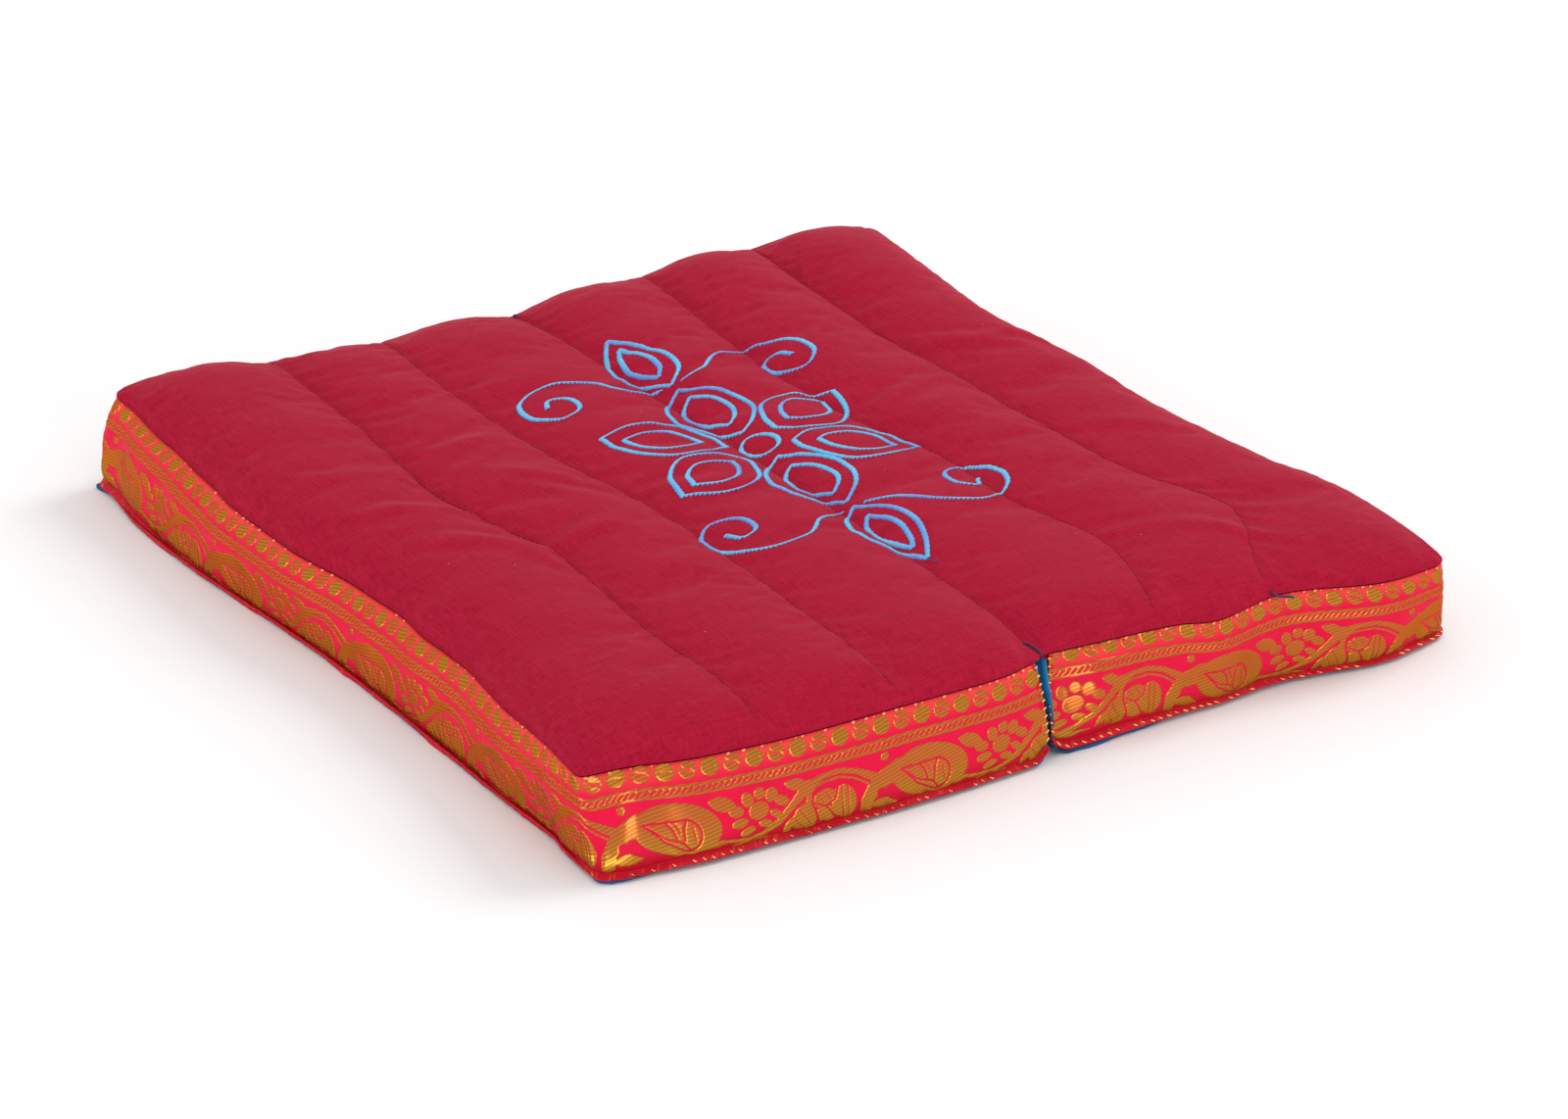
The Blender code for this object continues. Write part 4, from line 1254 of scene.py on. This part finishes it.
def spun_thread(name, end_shade_colour, top_highlight_colour, settings, runs_to=None):
    """Spun thread: a painted highlight makes it lighter on top of each stitch, and painted shade makes it
    darker at its ends, where it goes into the cloth. A thread dyed in shades runs to another colour and back
    along its length."""
    material, shader = new_material(name, settings)
    along = add(material, "Attribute", {}, "Fac", attribute_name="along_stitch")
    from_middle = add(material, "Math", {0: along, 1: 0.5}, "Value", operation="SUBTRACT")
    far = add(material, "Math", {0: from_middle}, "Value", operation="ABSOLUTE")
    on_top = add(material, "MapRange", {"Value": far, "From Min": 0.39, "From Max": 0.27}, "Result")
    place = add(material, "TexCoord", {}, "Object")
    fluff = add(material, "TexNoise", {"Vector": place, "Scale": THREAD_FLUFF / MM, "Detail": 1.0}, "Fac")
    lit = add(material, "Math", {0: fluff, 1: 0.5, 2: 0.72}, "Value", operation="MULTIPLY_ADD")
    shown = add(material, "Math", {0: on_top, 1: lit}, "Value", operation="MULTIPLY", use_clamp=True)
    # Painted shade at the ends of each stitch, running to a painted highlight along its top
    colour = add(
        material, "Mix", {FACTOR: shown, FIRST: end_shade_colour, SECOND: top_highlight_colour}, MIXED, data_type="RGBA"
    )
    if runs_to:
        pattern = {"Vector": place, "Scale": THREAD_SHADES / MM, "Detail": 1.0}
        shades = add(material, "TexNoise", pattern, "Fac")
        colour = lay_colour(material, colour, runs_to, shades, 0.46, 0.66, 0.6)
    use(material, shader, {"Base Color": colour})
    return material


def stitches_on_band(route, starts, stitch, swell=1.0, sunk=0.0, share=0.0):
    """The points of stitches that start at distances along a band's route, each longer by its swell."""
    ahead, shares, out = np.array(stitch).T
    return band_surface(route, starts + ahead * MM * swell, share + shares[None, :], out * MM + sunk)


# The heights of the finished top, found by dropping straight down on it from above
DROP_FROM = 200 * MM
cushion_surface = BVHTree.FromObject(cushion, bpy.context.evaluated_depsgraph_get())


def top_under(x, y):
    heights = []
    for place in zip(np.ravel(x), np.ravel(y)):
        hit = cushion_surface.ray_cast(Vector((*place, DROP_FROM)), Vector((0, 0, -1)))[0]
        heights.append(hit.z if hit else SLOT_TOP)
    return np.reshape(heights, np.shape(x))


def lay_on_top(x, y, proud):
    """Points at given heights over the finished top."""
    return np.stack([x, y, top_under(x, y) + proud], -1)


# Each spun thread: the colour of its painted shade at the stitch ends, then that of its painted highlight on
# top
crimson_thread = spun_thread(
    "crimson_cotton_sewing_thread", "#5E0A1C", "#A01430", {"Roughness": 0.75, "Specular IOR Level": 0.15}
)
gold_thread = spun_thread(
    "gilt_selvage_thread", "#A8502A", "#FFC766", {"Roughness": 0.35, "Metallic": 0.4}
)
selvage_thread = spun_thread(
    "coral_overlock_thread", "#C0303A", "#FF9468", {"Roughness": 0.45, "Specular IOR Level": 0.3}
)

SEAM_RISE = np.array([-0.25, 0.12, 0.2, 0.12, -0.25]) * MM
seam_stitches = []
starts = np.arange(-HALF_LENGTH + 2 * SEAM_PITCH, HALF_LENGTH - 2 * SEAM_PITCH, SEAM_PITCH)
stitch_along = starts[:, None] + np.linspace(0, SEAM_STITCH, len(SEAM_RISE))[None, :]
for half in (LEFT, RIGHT):
    for seam in (1, 2):
        from_fold = channel_place(half, np.full(stitch_along.shape, float(seam)), stitch_along)
        x, y, _ = plan(half, from_fold, stitch_along, 1.0)
        seam_stitches.append(lay_on_top(x, y, SEAM_RISE))
x, y, _ = plan(RIGHT, np.zeros(stitch_along.shape), stitch_along, 1.0)
seam_stitches.append(lay_on_top(x, y, SEAM_RISE))
make_threads("quilting_stitches", np.concatenate(seam_stitches), SEWING_THREAD, crimson_thread)

# The sine of a large multiple of its place makes each loop and stitch a little unlike the next.
for half in (LEFT, RIGHT):
    route = ROUTES[half]
    side_name = "left" if half == LEFT else "right"
    loops = np.arange(1.5 * MM, route.length - 3 * MM, TOP_LOOP_PITCH)
    loops = loops + LOOP_UNEVEN * np.sin(loops * 2111)
    on_side = (loops > route.corners[0]) & (loops < route.corners[1])
    loops = loops[np.sin(loops * 3371) > np.where(on_side, LOOPS_SHOW_ON_SIDE, LOOPS_SHOW_AT_END)]
    swell = 1 + LOOP_SWELL * np.sin(loops * 977)[:, None]
    points = stitches_on_band(route, loops[:, None], TOP_LOOP, swell)
    make_threads(f"top_seam_loops_{side_name}", points, TOP_LOOP_THREAD * swell, selvage_thread)

    stitches = np.arange(2 * MM, route.length - 3 * MM, FOOT_STITCH_PITCH)
    stitches = stitches + STITCH_UNEVEN * np.sin(stitches * 1733)
    on_side = (stitches > route.corners[0]) & (stitches < route.corners[1])
    far_from_fold = np.clip((stitches - BURIED_FROM) / BURIED_OVER, 0, 1)
    buried = BURIED_ON_SIDE * on_side + (BURIED_LEFT if half == LEFT else BURIED_RIGHT * far_from_fold)
    sunk = SINK_WAVE * waves(stitches, (0.0613, 0.0237), 0.9) + SINK_UNEVEN * np.sin(stitches * 4021) - buried
    shown = sunk > DEEPEST_SHOWN
    sunk = np.minimum(sunk[shown], MOST_PROUD)[:, None]
    points = stitches_on_band(route, stitches[shown][:, None], FOOT_STITCH, sunk=sunk)
    make_threads(f"foot_stitches_{side_name}", points, FOOT_THREAD, gold_thread)

    shares = np.linspace(END_LOOPS_FROM, END_LOOPS_TO, END_LOOPS)[:, None]
    end_loops = []
    for end, inward in ((0.0, 1), (route.length, -1)):
        points = stitches_on_band(route, end, END_LOOP, inward, share=shares)
        points[:, 2:, 0] -= half * END_LOOP_OVER
        end_loops.append(points)
    make_threads(f"end_loops_{side_name}", np.concatenate(end_loops), END_THREAD, gold_thread)

# Embroidery: a six-petalled rosette with a leaf at each end and four scrolls, a plain design of this part's
# own. Outlines of satin stitch in shaded blue rayon, sewn from side to side before the panel was filled.

ROSETTE_MIDDLE = (3 * MM, 9 * MM)
PETALS = 6
SATIN_HALF_WIDTH = 1.45 * MM
SATIN_SLANT = 0.42 * MM
SATIN_PITCH = 0.46 * MM
SATIN_ACROSS = 0.42
SATIN_UNEVEN = 0.09
RAYON_THREAD = 0.27 * MM
LINE_STEPS = 14

# Lines of the design in millimetres from the rosette's middle: how far out, and how far to the side.
Bend = namedtuple("Bend", "out side")
PETAL = (
    (Bend(13, 0), Bend(20, 9), Bend(34, 17), Bend(50, 13), Bend(63, 0)),
    (Bend(23, 0), Bend(28, 5.5), Bend(37, 9.5), Bend(46, 7.5), Bend(54, 0)),
)
END_LEAF = (
    (Bend(68, 0), Bend(79, 10), Bend(94, 12), Bend(108, 7), Bend(120, 0)),
    (Bend(78, 0), Bend(85, 4.6), Bend(94, 5.6), Bend(103, 3.4), Bend(110, 0)),
)
SCROLL = (
    Bend(68, 5), Bend(73, 18), Bend(84, 30), Bend(88, 48), Bend(80, 64), Bend(66, 67), Bend(57, 58),
    Bend(61, 47), Bend(71, 46), Bend(74, 54), Bend(68, 58),
)
HEART_RADIUS = 7.5


def smooth_line(bends):
    """Points on a smooth open curve through bends, in metres as (out, side)."""
    knots = np.array(bends, float) * MM
    padded = np.concatenate([2 * knots[:1] - knots[1:2], knots, 2 * knots[-1:] - knots[-2:-1]])
    t = np.linspace(0, 1, LINE_STEPS, endpoint=False)[:, None]
    line = []
    for a, b, c, d in zip(padded, padded[1:], padded[2:], padded[3:]):
        square = a - 2.5 * b + 2 * c - d / 2
        cube = 1.5 * (b - c) + (d - a) / 2
        line.append(b + (c - a) / 2 * t + square * t**2 + cube * t**3)
    return np.concatenate([*line, knots[-1:]])


def design_lines():
    """The lines of the whole design, each as points in the plan."""
    lines = []
    turns = [math.pi * (0.5 + number / 3) for number in range(PETALS)]
    for turn in turns:
        lines += [(smooth_line(outline) * (1, side), turn) for outline in PETAL for side in (1, -1)]
    for turn in (math.pi / 2, -math.pi / 2):
        lines += [(smooth_line(outline) * (1, side), turn) for outline in END_LEAF for side in (1, -1)]
        lines += [(smooth_line(SCROLL) * (1, side), turn) for side in (1, -1)]
    round_line = np.linspace(0, 2 * math.pi, 60)[:, None]
    lines.append((HEART_RADIUS * MM * np.concatenate([np.cos(round_line), np.sin(round_line)], 1), 0.0))
    placed = []
    for line, turn in lines:
        out, side = line.T
        x = ROSETTE_MIDDLE[0] + out * math.cos(turn) - side * math.sin(turn)
        y = ROSETTE_MIDDLE[1] + out * math.sin(turn) + side * math.cos(turn)
        placed.append(np.stack([x, y], 1))
    return placed


def needle_points(line):
    """Where the needle goes down along a line, to the left and the right of it in turn."""
    steps = np.diff(line, axis=0)
    worked = np.concatenate([[0], np.cumsum(np.hypot(steps[:, 0] * SATIN_ACROSS, steps[:, 1]))])
    count = max(4, round(worked[-1] / SATIN_PITCH))
    at = np.linspace(0, worked[-1], count)
    side = (-1.0) ** np.arange(count)
    uneven = 1 + SATIN_UNEVEN * np.sin(at * 9000 + count)
    return np.stack([
        np.interp(at, worked, line[:, 0]) + side * SATIN_HALF_WIDTH * uneven,
        np.interp(at, worked, line[:, 1]) + side * SATIN_SLANT,
    ], 1)


SATIN_SHARES = np.array([0.0, 0.14, 0.5, 0.86, 1.0])
SATIN_RISE = np.array([-0.3, 0.16, 0.42, 0.16, -0.3]) * MM
satin = []
for line in design_lines():
    needle = needle_points(line)
    satin.append(needle[:-1, None] + (needle[1:] - needle[:-1])[:, None] * SATIN_SHARES[None, :, None])
satin = np.concatenate(satin)
rayon_thread = spun_thread(
    "shaded_blue_rayon_embroidery_thread",
    "#2C3690",
    "#5CC2F0",
    {"Roughness": 0.38, "Specular IOR Level": 0.45, "Sheen Weight": 0.1},
    runs_to="#5B80DC",
)
embroidery_points = lay_on_top(satin[..., 0], satin[..., 1], SATIN_RISE)
make_threads("embroidery_satin_stitches", embroidery_points, RAYON_THREAD, rayon_thread)

# Loose ends: tails of navy sewing thread at the fold and the right front seam, a pale blue tail where the
# embroidery was tied off, and a few fibres of lint that cling to the top. None of it was trimmed.

TAIL_THREAD = 0.45 * MM
PALE_THREAD = 0.2 * MM

# Strands that catch the light, to a millimetre
THREAD_STRANDS = 0.7


def navy_sewing_thread():
    """Navy polyester: a smooth twisted thread, whose strands catch the light unevenly."""
    material, shader = new_material("navy_polyester_thread", {"Roughness": 0.6, "Specular IOR Level": 0.3})
    place = add(material, "TexCoord", {}, "Object")
    strands = add(material, "TexNoise", {"Vector": place, "Scale": THREAD_STRANDS / MM, "Detail": 1.0}, "Fac")
    tone = add(
        material, "Mix", {FACTOR: strands, FIRST: "#17173E", SECOND: "#38345F"}, MIXED, data_type="RGBA"
    )
    use(material, shader, {"Base Color": tone})
    return material


# Each tail lies on the top: its places in millimetres, and how far it stands over the cloth there.
Tail = namedtuple("Tail", "x y over")
NAVY_TAILS = {
    "tail_at_fold_near": (
        Tail(-1, -180.6, -0.4), Tail(-0.2, -182.4, 0.3), Tail(0.9, -184, 0.4), Tail(0.6, -186.2, 0.4),
        Tail(1.9, -187.6, 0.3), Tail(1.9, -189, -0.6),
    ),
    "tail_at_fold_far": (
        Tail(-7.4, 186.6, -0.3), Tail(-8.4, 187.6, 0.8), Tail(-6.4, 188.2, 1.2), Tail(-7.4, 186, 1.2),
        Tail(-8, 188.6, 0.9), Tail(-6.6, 189.4, 0.2),
    ),
    "tail_at_front_seam": (
        Tail(106.6, -188.8, 0.1), Tail(108.6, -190.4, 0.7), Tail(110.6, -190.8, 0.3),
        Tail(112.6, -192.4, 0.6), Tail(114.6, -193, 0),
    ),
}
PALE_TAILS = {
    "tail_of_embroidery": (
        Tail(3, -111, 0.2), Tail(1.4, -113, 1), Tail(1.8, -115.4, 0.6), Tail(4.2, -116.6, 0.4),
    ),
}


def make_tail(name, tail, radius, material):
    curve = bpy.data.curves.new(name, "CURVE")
    curve.dimensions = "3D"
    curve.bevel_depth = radius
    curve.bevel_resolution = 2
    curve.use_fill_caps = True
    curve.resolution_u = 6
    x, y, over = np.array(tail).T * MM
    points = lay_on_top(x, y, over + radius)
    spline = curve.splines.new("NURBS")
    spline.points.add(len(points) - 1)
    for point, place in zip(spline.points, points):
        point.co = (*place, 1.0)
    spline.use_endpoint_u = True
    spline.order_u = 4
    curve.materials.append(material)
    thing = new_object(name, curve)
    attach(thing, "root")


navy_thread = navy_sewing_thread()
for name, tail in NAVY_TAILS.items():
    make_tail(name, tail, TAIL_THREAD, navy_thread)
for name, tail in PALE_TAILS.items():
    make_tail(name, tail, PALE_THREAD, rayon_thread)

LINT_COUNT = 16
LINT_LENGTH = 1.3 * MM
LINT_RADIUS = 0.07 * MM
LINT_CURL = 0.3 * MM
LINT_OVER = 0.12 * MM
LINT_SPREAD_X, LINT_SPREAD_Y = 360 * MM, 370 * MM

# Steps of 0.618 and 0.755 of the spread put no two fibres close together.
lint_number = np.arange(LINT_COUNT)
lint_x = LINT_SPREAD_X * ((lint_number * 0.618 + 0.11) % 1 - 0.5)
lint_y = LINT_SPREAD_Y * ((lint_number * 0.755 + 0.37) % 1 - 0.5)
lint_turn = lint_number[:, None] * 2.4
lint_share = np.linspace(-0.5, 0.5, 5)
lint_ahead = lint_share * LINT_LENGTH
lint_curl = LINT_CURL * np.cos(lint_share * 5)
lint_points = lay_on_top(
    lint_x[:, None] + np.cos(lint_turn) * lint_ahead + np.sin(lint_turn) * lint_curl,
    lint_y[:, None] + np.sin(lint_turn) * lint_ahead - np.cos(lint_turn) * lint_curl,
    LINT_OVER,
)
lint_fibre = spun_thread(
    "pale_cotton_lint", "#B0405A", "#D898A4", {"Roughness": 0.9, "Specular IOR Level": 0.1}
)
make_threads("lint_on_top", lint_points, LINT_RADIUS, lint_fibre)

# Studio: a plain pale floor and backdrop, soft lights, and a camera at the photograph's angle.

CAMERA_AZIMUTH = math.radians(-32.72)
CAMERA_ELEVATION = math.radians(24.74)
CAMERA_ROLL = math.radians(1.347)
CAMERA_DISTANCE = 2.045
CAMERA_TARGET = Vector((0.00966, -0.0002, 0.0))
CAMERA_LENS = 117.7
FLOOR_SIZE = 12.0
FLOOR_HEIGHT = -0.4 * MM
SKY_STRENGTH = 0.855

back = Vector((
    math.sin(CAMERA_AZIMUTH) * math.cos(CAMERA_ELEVATION),
    -math.cos(CAMERA_AZIMUTH) * math.cos(CAMERA_ELEVATION),
    math.sin(CAMERA_ELEVATION),
))
level_right = (-back).cross(Vector((0, 0, 1))).normalized()
level_up = level_right.cross(-back)
right = level_right * math.cos(CAMERA_ROLL) + level_up * math.sin(CAMERA_ROLL)
up_axis = level_up * math.cos(CAMERA_ROLL) - level_right * math.sin(CAMERA_ROLL)
camera_data = bpy.data.cameras.new("camera")
camera_data.lens = CAMERA_LENS
camera = new_object("camera", camera_data)
place = CAMERA_TARGET + back * CAMERA_DISTANCE
camera.matrix_world = Matrix((
    (right.x, up_axis.x, back.x, place.x),
    (right.y, up_axis.y, back.y, place.y),
    (right.z, up_axis.z, back.z, place.z),
    (0, 0, 0, 1),
))
bpy.context.scene.camera = camera

floor_corners = [(x * FLOOR_SIZE / 2, y * FLOOR_SIZE / 2, 0) for x, y in ((-1, -1), (1, -1), (1, 1), (-1, 1))]
floor = new_mesh("floor", floor_corners, [(0, 1, 2, 3)], smooth=False)
floor.location.z = FLOOR_HEIGHT
floor_paint, _ = new_material(
    "pale_matt_floor_paint", {"Base Color": from_hex("#F4F4F4"), "Roughness": 0.9, "Specular IOR Level": 0.1}
)
floor.data.materials.append(floor_paint)

world = bpy.data.worlds.new("studio")
world.use_nodes = True
world.node_tree.nodes["Background"].inputs["Color"].default_value = (1, 1, 1, 1)
world.node_tree.nodes["Background"].inputs["Strength"].default_value = SKY_STRENGTH
bpy.context.scene.world = world

# Each light: where it stands, how wide it is, and its power in watts. All point at the cushion.
SoftLight = namedtuple("SoftLight", "name place wide tall watts")
SOFT_LIGHTS = (
    SoftLight("key", (2.8, 0.2, 2.8), 1.6, 1.6, 54),
    SoftLight("front", (-0.36, -2.45, 0.35), 1.0, 0.5, 13),
    SoftLight("left", (-2.5, 0.3, 0.5), 1.4, 0.8, 14),
)
for light in SOFT_LIGHTS:
    lamp = bpy.data.lights.new(light.name, "AREA")
    lamp.shape = "RECTANGLE"
    lamp.size, lamp.size_y = light.wide, light.tall
    lamp.energy = light.watts
    thing = new_object(light.name, lamp)
    thing.location = light.place
    thing.rotation_euler = Vector(light.place).to_track_quat("Z", "Y").to_euler()

bpy.context.scene.view_settings.view_transform = "Standard"
